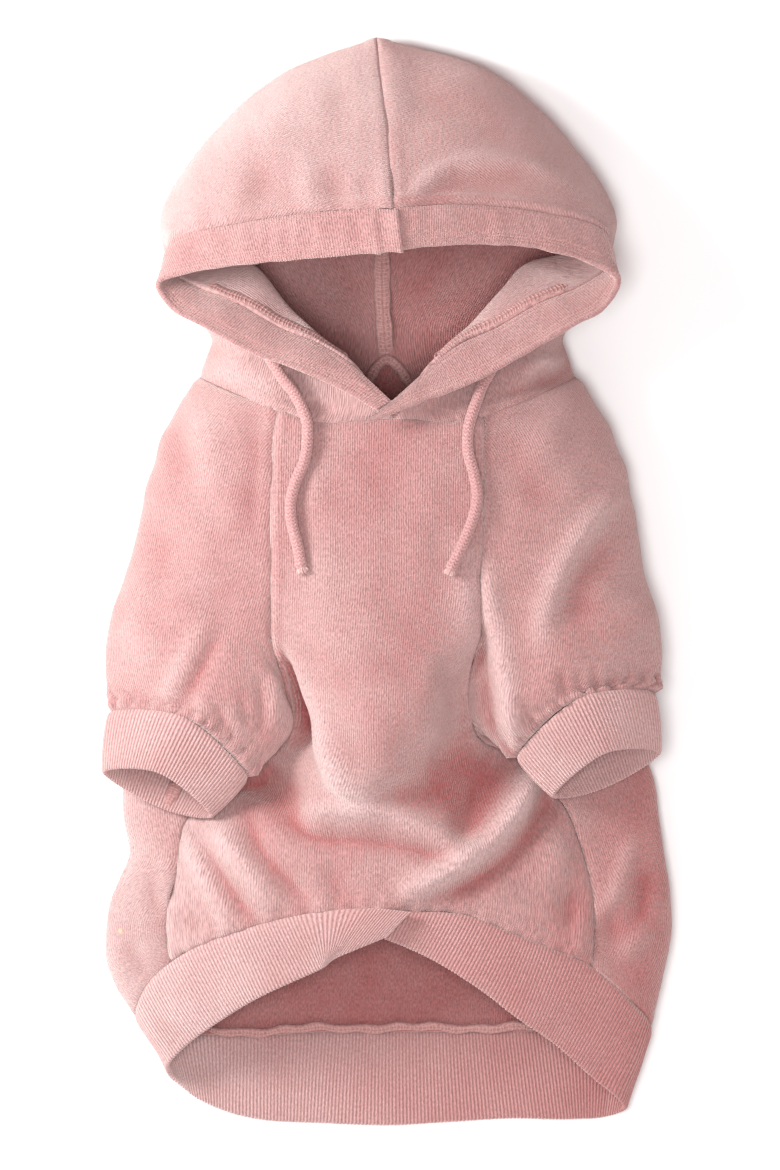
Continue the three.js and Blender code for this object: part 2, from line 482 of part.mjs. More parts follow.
const ARMPIT_ROW = 6;
const FOLD_ROW = 4;
const BACK_RAGLAN_ROWS = 3.5;
const raglan = (side) => spline(sleeveRows(side).slice(0, ARMPIT_ROW + 1).map((row) => row[0]));
const cuffSeam = (side) => spline(sleeveRows(side).at(-1).slice(0, -1), true);
const bandRows = BAND_ROWS.map(({ seam, reach }) => {
  const start = bodyPoint(seam, -1);
  return [start, offset(start, reach, -1, BAND_WIDTH)];
});
const bandSeam = spline(bandRows.map((row) => row[0]));

const backSide = (side) =>
  BACK_ROWS.map((row, i) =>
    Object.keys(row).map((name) => {
      const move = side > 0 ? RIGHT_BACK_SHIFT[i][name] ?? [0, 0] : [0, 0];
      return bodyPoint([row[name][0] + move[0], row[name][1] - move[1], row[name][2]], side);
    }));
const sideSeam = (side) => spline(backSide(side).slice(ARMPIT_ROW - 1).map((row) => row[0]));
const backRaglan = (side) => spline(sleeveRows(side).slice(0, ARMPIT_ROW - 1).map((row) => row.at(-1)));

const hemRows = (side) =>
  HEM_ROWS.map((row, i) => {
    const move = side > 0 ? RIGHT_HEM_SHIFT[i] : { line: [0, 0, 0], reach: [0, 0, 0] };
    const line = hoodPoint(plus(row.line, move.line), side);
    return [line, offset(line, plus(row.reach, move.reach), side, HEM_WIDTH)];
  });
const hemLine = (side) => spline(hemRows(side).map((row) => row[0]));
const neckRow = (side) => Object.values(NECK_ROW[0]).map((share) => bodyPoint(share, side));
const neckSeam = (side) => spline(neckRow(side));

function hood(side) {
  const lines = hemRows(side).map((row) => row[0]);
  const rows = [neckRow(side).slice(1), ...HOOD_ROWS.map((row) =>
    Object.values(row).slice(1).map((share) => hoodPoint(share, side)))];
  lines[0] = neckRow(side)[0];
  const grid = rest(loft(rows.map((row, i) => [lines[i], ...row]), HOOD_STEPS, HOOD_STEPS), VELOUR);
  snap(firstColumn(grid).slice(HOOD_STEPS), hemLine(side));
  trim(firstColumn(grid));
  trim(firstRow(grid));
  for (const row of grid) {
    for (const p of row) p.x = side * Math.max(side * p.x, SEAM_GAP / 2);
  }
  return lean(wall(grid, VELOUR, ALL_SEAMS, { centred: true }));
}

function hem(side) {
  const grid = loft(hemRows(side), HOOD_STEPS, 2);
  snap(firstColumn(grid), hemLine(side));
  trim(firstColumn(grid));
  for (const p of grid.at(-1)) p.x = side * SEAM_GAP / 2;
  return lean(wall(grid, HEM_TUNNEL, { firstColumn: true }, { centred: true }));
}

function chest() {
  const rows = CHEST_ROWS.map((row) => Object.values(row).map((share) => bodyPoint(share, -1)));
  const grid = rest(loft(rows, CHEST_STEPS, CHEST_SIDES), VELOUR);
  fold(grid, CHEST_FOLDS, -1);
  for (const [side, edge] of [[-1, firstColumn(grid)], [1, lastColumn(grid)]]) {
    snap(edge, raglan(side));
    snap(edge, sideSeam(side));
    snap(firstRow(grid), neckSeam(side));
  }
  for (const edge of [firstColumn(grid), lastColumn(grid)]) {
    trim(edge);
    trim(edge.slice(FOLD_ROW * CHEST_STEPS), FOLD_EASE);
  }
  snap(lastRow(grid), bandSeam, BAND_SNAP_REACH);
  trim(firstRow(grid));
  trim(lastRow(grid));
  return wall(grid, VELOUR, ALL_SEAMS);
}

function back() {
  const left = backSide(-1);
  const right = backSide(1);
  const rows = left.map((row, i) => [...row, ...right[i].slice(0, -1).reverse()]);
  const grid = rest(loft(rows, BACK_STEPS, BACK_STEPS), VELOUR);
  for (const [side, edge] of [[-1, firstColumn(grid)], [1, lastColumn(grid)]]) {
    snap(edge.slice(0, BACK_RAGLAN_ROWS * BACK_STEPS), backRaglan(side));
    snap(edge.slice((ARMPIT_ROW - 1) * BACK_STEPS), sideSeam(side));
    trim(edge);
  }
  snap(lastRow(grid), bandSeam, BAND_SNAP_REACH);
  trim(firstRow(grid));
  trim(lastRow(grid), SEAM_GAP + FOLD_EASE);
  return wall(grid, VELOUR, ALL_SEAMS);
}

function sleeve(side) {
  const grid = rest(loft(sleeveRows(side), SLEEVE_STEPS, SLEEVE_SIDES), VELOUR);
  fold(grid, SLEEVE_FOLDS, side);
  snap(firstRow(grid), neckSeam(side));
  trim(firstRow(grid));
  trim(lastRow(grid));
  trim(firstColumn(grid));
  trim(lastColumn(grid));
  trim(firstColumn(grid).slice(FOLD_ROW * SLEEVE_STEPS), FOLD_EASE);
  return wall(grid, VELOUR, ALL_SEAMS);
}

function cuff(side) {
  const names = Object.keys(CUFF_REACH);
  const sides = names.length * SLEEVE_SIDES;
  const seam = cuffSeam(side).getPoints(sides).slice(0, -1);
  const points = sleeveRows(side).at(-1).slice(0, -1);
  const mouth = spline(points.map((p, k) => offset(p, CUFF_REACH[names[k]], side, CUFF_LENGTH)), true)
    .getPoints(sides).slice(0, -1);
  const grid = Array.from({ length: CUFF_SECTIONS + 1 }, (_, i) =>
    seam.map((p, j) => p.clone().lerp(mouth[j], i / CUFF_SECTIONS)));
  trim(firstRow(grid), SEAM_GAP + FOLD_EASE);
  return wall(grid, RIB, { firstRow: true }, { closed: true });
}

function waistband() {
  const grid = rest(loft(bandRows, BAND_STEPS, 1), RIB);
  trim(firstColumn(grid));
  return wall(grid, RIB, { firstColumn: true });
}

function drawcord(route) {
  const path = spline(route.map((p) => new THREE.Vector3(...p)));
  const section = new THREE.Shape();
  for (let k = 0; k < CORD_SIDES; k += 1) {
    const angle = (2 * Math.PI * (k + 0.5)) / CORD_SIDES;
    const x = (CORD_DIAMETER / 2) * Math.cos(angle);
    const y = (CORD_DIAMETER / 2) * Math.sin(angle);
    if (k === 0) section.moveTo(x, y);
    else section.lineTo(x, y);
  }
  section.closePath();
  return new THREE.ExtrudeGeometry(section, { steps: CORD_STEPS, bevelEnabled: false, extrudePath: path });
}

const velour = new THREE.MeshStandardMaterial({ color: 0xdba9a3, roughness: 0.95, metalness: 0 });
const rib = new THREE.MeshStandardMaterial({ color: 0xd29a94, roughness: 0.9, metalness: 0 });
const cord = new THREE.MeshStandardMaterial({ color: 0xd8a49f, roughness: 0.85, metalness: 0 });

const hoodie = new THREE.Group();
function add(name, geometry, material) {
  const mesh = new THREE.Mesh(geometry, material);
  mesh.name = name;
  hoodie.add(mesh);
}

for (const [word, side] of [["left", -1], ["right", 1]]) {
  add(`hood_${word}`, hood(side), velour);
  add(`hood_hem_${word}`, hem(side), velour);
  add(`sleeve_${word}`, sleeve(side), velour);
  add(`cuff_${word}`, cuff(side), rib);
}
add("chest_panel", chest(), velour);
add("back_panel", back(), velour);
add("waistband", waistband(), rib);
add("drawcord_left", drawcord(LEFT_CORD), cord);
add("drawcord_right", drawcord(RIGHT_CORD), cord);

export default hoodie;
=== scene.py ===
"""A dusty-pink velour dog hoodie, laid on its back and dressed over its frame."""
import math
import random

import bmesh
import bpy
import numpy as np
from mathutils import Matrix, Vector


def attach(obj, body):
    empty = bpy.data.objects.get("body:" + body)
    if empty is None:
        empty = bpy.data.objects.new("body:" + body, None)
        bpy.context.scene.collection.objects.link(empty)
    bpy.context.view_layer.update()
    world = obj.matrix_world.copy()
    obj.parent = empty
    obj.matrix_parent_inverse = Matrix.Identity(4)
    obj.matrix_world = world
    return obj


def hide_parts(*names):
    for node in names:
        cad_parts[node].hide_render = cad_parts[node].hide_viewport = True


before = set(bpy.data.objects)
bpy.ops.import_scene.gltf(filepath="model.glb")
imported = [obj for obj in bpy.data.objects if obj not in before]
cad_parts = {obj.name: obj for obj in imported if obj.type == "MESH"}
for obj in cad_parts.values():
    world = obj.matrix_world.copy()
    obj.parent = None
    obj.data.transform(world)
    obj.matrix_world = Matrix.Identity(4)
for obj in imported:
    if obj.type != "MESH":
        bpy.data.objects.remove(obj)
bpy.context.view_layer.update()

MM = 0.001
SIDES = ((-1, "left"), (1, "right"))

# Driving sizes of the garment in millimetres, as in the part's source
HALF_WIDTH = 142
BODY_LENGTH = 354
LOFT = 60
HOOD_HALF_WIDTH = 116
HOOD_LENGTH = 193
HOOD_HEIGHT = 86
HEM_WIDTH = 20
BAND_WIDTH = 33
CUFF_LENGTH = 29
VELOUR = 2.0
RIB = 2.4
HEM_TUNNEL = 3.0
CORD_DIAMETER = 5.6
NECK_Y = (BODY_LENGTH - HOOD_LENGTH) / 2
ARMPIT_ROW = 6
LEAN_REACH = 0.4

# Sizes of what only this scene shows, in millimetres; the ribs are 1.75 apart against about 1.7
SPACING = 1.6
BACK_SPACING = 2.0
TOPSTITCH = 2.4
RIB_PITCH = 1.75
RIB_HEIGHT = 0.45
STEPS_PER_RIB = 6
SEAM_PINCH = 0.55
BAND_COLUMNS = 16
CUFF_COLUMNS = 14
HEM_COLUMNS = 48
RIM_OVERLOCK = 6.0
CENTRE_OVERLOCK = 8.0
LEASH_HOLE_OVERLOCK = 4.6
WAIST_OVERLOCK = 4.2
HEM_STITCH_ROWS = (1.4, 3.0, 4.6)
HOOD_STITCH_RADIUS = 0.17
RAGLAN_STITCH_RADIUS = 0.15
OVERLOCK_THREAD_RADIUS = 0.42
FRAY_RADIUS = 0.2
# Where the seam along each cuff's inside comes out at its mouth, across and along
CUFF_SEAM = dict(left=(-110, -112), right=(97, -100))

# Sections of the panels, as shares: reach across, distance along from the neck seam, height
# Neck seam, from the front overlap round the side to the nape
NECK_ROW = ((0.004, 0, 0.965), (0.07, 0, 0.95), (0.24, 0.005, 0.925), (0.445, -0.02, 0.835),
            (0.665, -0.06, 0.335), (0.52, -0.05, 0.06), (0.065, -0.05, 0.065))

# Hood half, from beside the hem round the side to the centre seam, a row for each place along the hem
# but the first; the hem's own line is in HEM_ROWS
HOOD_ROWS = [
    ((0.225, 0.175, 0.545), (0.3, 0.105, 0.535), (0.545, 0.085, 0.535), (0.785, 0.165, 0.185),
     (0.64, 0.14, 0.035), (0.06, 0.12, 0.046)),
    ((0.31, 0.22, 0.525), (0.415, 0.16, 0.475), (0.595, 0.135, 0.49), (0.765, 0.19, 0.165),
     (0.64, 0.195, 0.025), (0, 0.175, 0.046)),
    ((0.385, 0.265, 0.475), (0.51, 0.21, 0.405), (0.645, 0.195, 0.385), (0.755, 0.21, 0.15),
     (0.63, 0.245, 0.01), (0, 0.245, 0.015)),
    ((0.49, 0.345, 0.43), (0.61, 0.29, 0.315), (0.74, 0.27, 0.255), (0.83, 0.285, 0.14),
     (0.7, 0.325, 0.01), (0, 0.335, 0.01)),
    ((0.585, 0.41, 0.37), (0.715, 0.365, 0.245), (0.83, 0.335, 0.2), (0.895, 0.34, 0.13),
     (0.76, 0.39, 0.01), (0, 0.455, 0.01)),
    ((0.83, 0.435, 0.37), (0.88, 0.42, 0.235), (0.92, 0.415, 0.175), (0.955, 0.425, 0.12),
     (0.81, 0.47, 0.01), (0, 0.555, 0.01)),
    ((0.96, 0.48, 0.5), (0.98, 0.495, 0.37), (0.985, 0.515, 0.255), (0.97, 0.53, 0.165),
     (0.79, 0.57, 0.01), (0, 0.66, 0.01)),
    ((0.74, 0.57, 0.675), (0.8, 0.62, 0.535), (0.845, 0.655, 0.35), (0.845, 0.67, 0.175),
     (0.67, 0.695, 0.01), (0, 0.765, 0.01)),
    ((0.38, 0.63, 0.78), (0.425, 0.74, 0.63), (0.46, 0.835, 0.42), (0.455, 0.9, 0.175),
     (0.33, 0.86, 0.01), (0, 0.86, 0.01)),
    ((0, 0.64, 0.825), (0, 0.75, 0.675), (0, 0.885, 0.43), (0, 0.995, 0.165), (0, 0.955, 0.01),
     (0, 0.92, 0.01)),
]

# The hood's folded hem: its line, and its reach in shares of HEM_WIDTH
HEM_ROWS = [
    ((0.01, 0.04, 0.715), (0.3, 0.15, 0.15)),
    ((0.185, 0.145, 0.65), (0.38, 0.5, 0.3)),
    ((0.31, 0.195, 0.63), (0.55, 0.57, 0.4)),
    ((0.45, 0.23, 0.605), (0.6, 0.62, 0.45)),
    ((0.67, 0.305, 0.58), (0.68, 0.62, 0.45)),
    ((0.82, 0.34, 0.545), (0.62, 0.5, 0.5)),
    ((0.955, 0.39, 0.5), (0.18, 0.38, 0.7)),
    ((0.93, 0.46, 0.605), (-0.35, 0.78, 0.45)),
    ((0.665, 0.5, 0.755), (-0.28, 0.95, 0.25)),
    ((0.32, 0.53, 0.87), (-0.15, 1.08, 0.2)),
    ((0, 0.54, 0.955), (0, 1, 0.15)),
]

# How the right hem differs from HEM_ROWS, line and reach, by the row's number
RIGHT_HEM_SHIFT = {
    0: ((0.01, 0.02, 0.06), (-0.85, 0.35, 0.1)),
    1: ((0, 0, 0.02), (0, 0.18, 0)),
    2: ((0, 0, 0), (0, 0.25, 0)),
    3: ((0, 0, 0), (0, 0.05, 0)),
    6: ((0, 0.01, 0), (0, 0, 0)),
    7: ((0, 0.025, 0), (0, 0, 0)),
    8: ((0, 0.03, 0), (0, -0.13, 0)),
    9: ((0, 0.02, 0), (0, -0.13, 0)),
}

# Chest and belly, neck seam to waistband, each row from left to right
CHEST_ROWS = [
    ((0.4, 0, 0.885), (0.275, 0.005, 0.925), (0.15, 0, 0.945), (0.015, 0, 0.965), (-0.13, 0, 0.95),
     (-0.235, 0.005, 0.925), (-0.34, 0.01, 0.885)),
    ((0.41, 0.115, 0.9), (0.31, 0.115, 0.95), (0.17, 0.115, 1), (0.02, 0.115, 1.015), (-0.13, 0.115, 1),
     (-0.235, 0.115, 0.95), (-0.34, 0.115, 0.9)),
    ((0.41, 0.225, 0.9), (0.31, 0.23, 0.965), (0.17, 0.235, 1.035), (0.02, 0.235, 1.065),
     (-0.13, 0.235, 1.035), (-0.235, 0.23, 0.965), (-0.33, 0.225, 0.9)),
    ((0.41, 0.31, 0.85), (0.33, 0.325, 0.915), (0.205, 0.335, 1.085), (0.045, 0.34, 1.15),
     (-0.13, 0.33, 1.085), (-0.235, 0.32, 0.95), (-0.325, 0.3, 0.85)),
    ((0.365, 0.385, 0.715), (0.29, 0.395, 0.735), (0.19, 0.41, 1.065), (0.055, 0.425, 1.235),
     (-0.13, 0.405, 1.135), (-0.215, 0.39, 0.8), (-0.28, 0.365, 0.735)),
    ((0.35, 0.445, 0.55), (0.285, 0.455, 0.6), (0.205, 0.47, 0.9), (0.055, 0.49, 1.065),
     (-0.15, 0.47, 0.965), (-0.245, 0.455, 0.635), (-0.305, 0.44, 0.565)),
    ((0.495, 0.495, 0.365), (0.4, 0.505, 0.515), (0.27, 0.525, 0.735), (0.08, 0.535, 0.835),
     (-0.15, 0.53, 0.765), (-0.36, 0.51, 0.635), (-0.48, 0.485, 0.4)),
    ((0.71, 0.56, 0.35), (0.54, 0.575, 0.6), (0.31, 0.59, 0.765), (0.065, 0.595, 0.835),
     (-0.185, 0.59, 0.815), (-0.43, 0.555, 0.615), (-0.615, 0.535, 0.365)),
    ((0.745, 0.635, 0.485), (0.575, 0.65, 0.685), (0.345, 0.65, 0.785), (0.065, 0.645, 0.815),
     (-0.185, 0.645, 0.835), (-0.465, 0.625, 0.7), (-0.71, 0.635, 0.485)),
    ((0.77, 0.765, 0.465), (0.565, 0.73, 0.665), (0.31, 0.7, 0.765), (0.065, 0.69, 0.815),
     (-0.185, 0.695, 0.8), (-0.445, 0.73, 0.7), (-0.72, 0.775, 0.465)),
]

# Left sleeve, neck seam to cuff; each row goes round from the raglan seam over the top and the outer
# side to the underside and the back
SLEEVE_ROWS = [
    ((0.4, 0, 0.885), (0.47, -0.025, 0.8), (0.565, -0.045, 0.665), (0.665, -0.06, 0.335),
     (0.52, -0.045, 0.05), (0.31, -0.04, 0.035)),
    ((0.405, 0.05, 0.9), (0.485, 0.04, 0.885), (0.645, 0.02, 0.715), (0.79, 0.02, 0.35),
     (0.645, 0.03, 0.035), (0.345, 0.035, 0.02)),
    ((0.41, 0.115, 0.9), (0.52, 0.115, 0.885), (0.715, 0.115, 0.715), (0.86, 0.115, 0.385),
     (0.715, 0.125, 0.015), (0.375, 0.125, 0.015)),
    ((0.41, 0.22, 0.9), (0.54, 0.22, 0.9), (0.76, 0.215, 0.765), (0.915, 0.215, 0.415),
     (0.74, 0.235, 0.035), (0.41, 0.24, 0.015)),
    ((0.41, 0.31, 0.85), (0.53, 0.295, 0.915), (0.795, 0.285, 0.815), (0.98, 0.29, 0.465),
     (0.785, 0.325, 0.135), (0.425, 0.325, 0.015)),
    ((0.365, 0.385, 0.715), (0.43, 0.355, 0.915), (0.715, 0.34, 0.95), (0.995, 0.34, 0.5),
     (0.805, 0.395, 0.335), (0.385, 0.39, 0.2)),
    ((0.35, 0.445, 0.565), (0.34, 0.425, 0.765), (0.61, 0.395, 1), (0.99, 0.38, 0.535),
     (0.805, 0.43, 0.415), (0.36, 0.45, 0.515)),
    ((0.52, 0.48, 0.49), (0.4, 0.475, 0.685), (0.62, 0.41, 0.985), (0.985, 0.4, 0.565),
     (0.81, 0.44, 0.435), (0.535, 0.475, 0.485)),
    ((0.655, 0.485, 0.475), (0.495, 0.505, 0.685), (0.715, 0.42, 0.95), (0.98, 0.415, 0.585),
     (0.84, 0.45, 0.45), (0.67, 0.485, 0.465)),
]

# How the right sleeve differs: shifts across for the six places of a row, then a lift
RIGHT_SLEEVE_SHIFT = [
    (-0.055, -0.03, 0, 0, 0, 0, 0),
    (-0.065, -0.05, -0.02, 0, 0, 0, 0),
    (-0.07, -0.055, -0.02, 0, 0, 0, 0),
    (-0.08, -0.06, -0.03, -0.015, 0, 0, 0),
    (-0.085, -0.07, -0.03, -0.03, -0.02, 0, 0.01),
    (-0.08, -0.055, -0.04, -0.03, -0.03, -0.08, 0.02),
    (-0.045, -0.02, -0.045, -0.03, -0.035, -0.045, 0.01),
    (-0.04, -0.045, -0.045, -0.035, -0.04, -0.04, 0.018),
    (-0.04, -0.04, -0.04, -0.045, -0.04, -0.04, 0.028),
]

# Left half of the back, from the neck down; each row goes from the side seam round the flank to the
# spine
BACK_ROWS = [
    ((0.31, -0.04, 0.035), (0.27, -0.04, 0.02), (0.22, -0.045, 0.015), (0.125, -0.08, 0.015),
     (0, -0.1, 0.015)),
    ((0.375, 0.125, 0.015), (0.33, 0.125, 0.015), (0.28, 0.12, 0.015), (0.205, 0.115, 0.015),
     (0, 0.115, 0.015)),
    ((0.415, 0.31, 0.015), (0.38, 0.31, 0.015), (0.34, 0.31, 0.015), (0.24, 0.295, 0.015),
     (0, 0.28, 0.015)),
    ((0.375, 0.395, 0.15), (0.445, 0.405, 0.1), (0.54, 0.41, 0.05), (0.445, 0.405, 0.015),
     (0, 0.38, 0.015)),
    ((0.365, 0.46, 0.45), (0.61, 0.46, 0.335), (0.875, 0.455, 0.185), (0.76, 0.45, 0.015),
     (0, 0.46, 0.015)),
    ((0.5, 0.495, 0.315), (0.805, 0.51, 0.285), (0.94, 0.51, 0.185), (0.83, 0.515, 0.015),
     (0, 0.525, 0.015)),
    ((0.71, 0.565, 0.35), (0.84, 0.575, 0.335), (0.935, 0.57, 0.2), (0.83, 0.575, 0.015), (0, 0.58, 0.015)),
    ((0.745, 0.635, 0.465), (0.83, 0.625, 0.415), (0.91, 0.62, 0.25), (0.815, 0.62, 0.015),
     (0, 0.635, 0.015)),
    ((0.78, 0.7, 0.5), (0.895, 0.695, 0.435), (0.995, 0.7, 0.25), (0.89, 0.7, 0.015), (0, 0.705, 0.015)),
    ((0.78, 0.735, 0.485), (0.88, 0.76, 0.415), (0.99, 0.78, 0.25), (0.88, 0.79, 0.015), (0, 0.8, 0.015)),
    ((0.77, 0.765, 0.465), (0.845, 0.8, 0.385), (0.895, 0.845, 0.215), (0.775, 0.865, 0.02),
     (0, 0.865, 0.02)),
]

# How the right half differs at the first three places of a row, across and down
RIGHT_BACK_SHIFT = [
    ((0, 0), (0, 0), (0, 0)),
    ((0, 0), (0, 0), (0, 0)),
    ((0, 0), (0, 0), (0, 0)),
    ((-0.08, 0.02), (-0.04, 0.01), (0, 0)),
    ((-0.045, 0.01), (-0.02, 0), (0, 0)),
    ((-0.04, 0.015), (0, 0), (0, 0)),
    ((-0.1, 0.025), (-0.05, 0), (0.03, 0)),
    ((-0.04, 0), (0, 0), (0.075, 0)),
    ((-0.05, 0), (0, 0), (0.008, 0)),
    ((-0.055, 0), (0, 0), (-0.01, 0)),
    ((-0.055, -0.01), (0.01, 0), (0.04, 0)),
]

# Waistband: its seam, and its reach in shares of BAND_WIDTH
BAND_ROWS = [
    ((-0.085, 0.695, 0.885), (0.36, 0.35, 0)),
    ((0.065, 0.69, 0.85), (0.48, 0.73, -0.03)),
    ((0.31, 0.7, 0.8), (-0.33, 0.77, -0.03)),
    ((0.54, 0.725, 0.7), (-0.42, 0.92, -0.03)),
    ((0.715, 0.755, 0.55), (-0.56, 0.97, -0.03)),
    ((0.84, 0.795, 0.4), (-0.55, 0.94, -0.03)),
    ((0.89, 0.835, 0.285), (-0.5, 0.79, -0.03)),
    ((0.88, 0.855, 0.115), (-0.45, 0.73, -0.03)),
    ((0.775, 0.87, 0.02), (-0.27, 0.89, 0)),
    ((0.575, 0.875, 0.02), (0, 1.12, 0)),
    ((0.435, 0.875, 0.02), (0, 1.26, 0)),
    ((0.205, 0.87, 0.02), (0.08, 1.36, 0)),
    ((0, 0.87, 0.02), (0, 1.39, 0)),
    ((-0.17, 0.87, 0.02), (-0.06, 1.35, 0)),
    ((-0.395, 0.87, 0.02), (-0.15, 1.29, 0)),
    ((-0.605, 0.87, 0.02), (-0.15, 1.3, 0)),
    ((-0.805, 0.875, 0.02), (0.15, 1.21, 0)),
    ((-0.915, 0.875, 0.115), (0.35, 1.09, 0)),
    ((-0.925, 0.855, 0.285), (0.45, 1.15, 0)),
    ((-0.86, 0.825, 0.4), (0.61, 1.09, 0)),
    ((-0.72, 0.775, 0.515), (0.55, 1.14, 0)),
    ((-0.555, 0.745, 0.635), (0.41, 1.06, 0)),
    ((-0.43, 0.725, 0.7), (0.42, 0.85, 0)),
    ((-0.27, 0.7, 0.75), (0.38, 0.7, 0)),
    ((-0.115, 0.695, 0.775), (0.24, 0.5, 0)),
    ((-0.03, 0.695, 0.775), (0.18, 0.38, 0)),
]

# The hood's centre seam leans: share of its length, and lean in shares of the half width
CENTRE_SEAM = [
    (0.43, 0.045),
    (0.54, 0.024),
    (0.62, 0.017),
    (0.75, 0),
    (0.91, -0.034),
    (1, -0.049),
]

# Reach of a cuff in shares of CUFF_LENGTH, at the first five places round the sleeve
CUFF_REACH = [(0.41, 0.86, -0.09), (0.62, 0.66, -0.17), (0.43, 0.93, -0.14), (0.1, 1, -0.03),
              (0.28, 0.95, -0.07)]

# Routes of the drawcords in millimetres, from under the hem to the cut end
LEFT_CORD = [
    (-62.5, 116, 47), (-59.5, 111.5, 49.5), (-56, 106, 52), (-52.5, 100.5, 54), (-47, 93.5, 56.2),
    (-43, 86, 58.2), (-40.5, 79, 59.8), (-40, 72, 60.6), (-41.5, 60, 60.9), (-46, 49, 60.6),
    (-48.5, 39, 60.5), (-48, 29, 60.9), (-45, 17, 61.9), (-43, 6, 62.6),
]
RIGHT_CORD = [
    (53.5, 108.5, 50), (50.5, 103, 52.5), (47, 97, 55), (44.5, 90, 57), (42, 83, 58.8),
    (40, 75, 59.6), (40, 64, 59.5), (43, 52, 59.1), (44.5, 42, 59), (43, 33, 59.5),
    (39.5, 23, 60.5), (35.5, 14, 61.6), (31, 5, 63),
]

# Folds in millimetres: a path over the garment, the half width of the fold, and its rise
CHEST_FOLDS = [
    ([(-54, -38), (-47, -54), (-40, -78)], 6, -10.5),
    ([(-50, -37), (-42, -47), (-35, -62), (-31, -75), (-28, -87), (-22, -99), (-9, -110)], 5.5, 6.5),
    ([(-74, -94), (-58, -103), (-50, -113)], 11, -11.5),
    ([(-49, -121), (-38, -128), (-9, -131), (14, -135), (30, -141)], 5, -5),
    ([(-43, -110), (-36, -114), (-14, -115), (5, -119), (24, -128), (40, -137)], 5.5, 4.5),
    ([(-34, -103), (-10, -104)], 13, 3),
    ([(22, -98), (40, -93), (56, -100)], 11, -9),
    ([(2, -106), (26, -110), (48, -112)], 8, -4),
    ([(44, -104), (41, -124)], 11, -9.5),
    ([(73, -97), (66, -110), (59, -119.6), (46, -134), (27.5, -145.5), (9, -155)], 6, 8.5),
    ([(84, -101), (75, -119), (61, -138), (45, -150), (28, -157)], 6.5, -6),
    ([(-86, -125), (-76, -138), (-66, -151), (-58, -163)], 7, 5.5),
    ([(-71, -117), (-63, -137), (-50, -151), (-41, -161)], 6, -5),
    ([(-103, -129), (-95, -141), (-85, -160), (-78, -173)], 5, 4.2),
    ([(-93, -132), (-80, -153), (-68, -169)], 4.5, -3.6),
    ([(-98, -169), (-96, -175)], 4, -2.2),
    ([(-30, -147), (-21, -161)], 6, -2.0),
    ([(-36, -149), (-34, -163)], 6, 1.4),
    ([(-9, -147), (-6, -161)], 8, 1.4),
    ([(90, -158), (91, -173)], 5, -2.8),
    ([(97, -170), (95, -186)], 3.5, 2.2),
    ([(84, -136), (80, -153)], 9, 2.2),
    ([(-3, 72), (-4, 40)], 20, -2.2),
    ([(-37, 57), (-35, 38)], 5, 1.4),
    ([(38, 20), (40, -20), (38, -46)], 8, 2.4),
    ([(-30, 10), (-24, -30)], 14, 1.6),
    ([(10, 0), (8, -50)], 13, -1.6),
]
LEFT_SLEEVE_FOLDS = [
    ([(-98, 88), (-90, 72), (-86, 48)], 8, 2.6),
    ([(-108, 72), (-103, 52)], 8, -2.2),
    ([(-68, 80), (-66, 52), (-70, 26)], 6, -2.0),
    ([(-85, -28), (-94, -46), (-103, -63)], 4.5, -3.2),
    ([(-92, -24), (-101, -42), (-111, -60)], 6, 2.4),
    ([(-63, -50), (-63, -66), (-65, -80)], 3.5, -1.8),
    ([(-58, -48), (-57, -72)], 4, 2.0),
    ([(-85, -63), (-80, -75)], 2.6, -1.6),
    ([(-78, -64), (-74, -77)], 2.5, 1.4),
    ([(-93, -58), (-90, -69)], 2.6, 1.3),
    ([(-73, -57), (-71, -72)], 2.6, -1.5),
    ([(-124, 0), (-127, -46)], 10, 1.6),
    ([(-112, 24), (-117, -16)], 9, -1.5),
    ([(-84, 20), (-78, -20)], 9, -1.0),
    ([(-140, -54), (-124, -56)], 2.2, -0.9),
]
RIGHT_SLEEVE_FOLDS = [
    ([(112, 42), (99.4, 28), (85.4, 4.4), (79, -14.4), (76, -32)], 6, 3.8),
    ([(105, 12), (96, -4), (95, -24)], 9, -3.0),
    ([(48, 8), (51, -10), (55.7, -28.4), (59, -49), (62, -64), (66, -76)], 6, 4.5),
    ([(46, -20), (48, -48), (52, -72)], 4.5, -3.6),
    ([(49.5, 40), (49, 26)], 3, 1.6),
    ([(60, 62), (76, 40)], 9, -1.6),
    ([(76, 70), (92, 50)], 9, 1.4),
    ([(66, -60), (71, -71)], 2.6, -1.8),
    ([(61, -66), (65, -77)], 2.6, 1.5),
    ([(52, -69), (54, -75)], 2.5, -1.8),
    ([(86, -46), (88, -57)], 2.6, -2.0),
    ([(94, -45), (96, -56)], 2.6, -1.7),
    ([(102, -44), (104, -55)], 2.6, -2.0),
    ([(111, -44), (112, -55)], 2.8, -1.6),
    ([(90, -44), (100, -46), (116, -44)], 3, 0.9),
]
HOOD_FOLDS = [
    ([(-43, 214), (-40, 189)], 6, 1.4), ([(-27, 198), (-25, 188)], 7, -1.8),
    ([(-13, 198), (-12, 188)], 5, -1.6), ([(-64, 202), (-62, 192)], 8, -1.6),
    ([(-84, 205), (-44, 240)], 14, 1.3), ([(-70, 182), (-30, 222)], 12, -0.7),
    ([(9, 188), (20, 199), (34, 206.6), (64.6, 208), (96, 193)], 4, 1.9),
    ([(12, 184), (34, 196), (64, 198)], 7, -2.0), ([(20, 240), (60, 224)], 13, -1.3),
    ([(8, 262), (8, 226)], 6, 1.2),
    ([(69, 104), (76, 110), (85, 108)], 3, 2.2), ([(72, 100), (84, 101), (93, 107)], 4, -2.4),
    ([(58, 92), (72, 96), (89, 105)], 3.5, -2.6), ([(-60, 95), (-86, 107)], 6, 1.8),
    ([(-28, 83), (-52, 90)], 4, -1.6), ([(-72, 92), (-92, 98)], 3.5, -1.4),
]
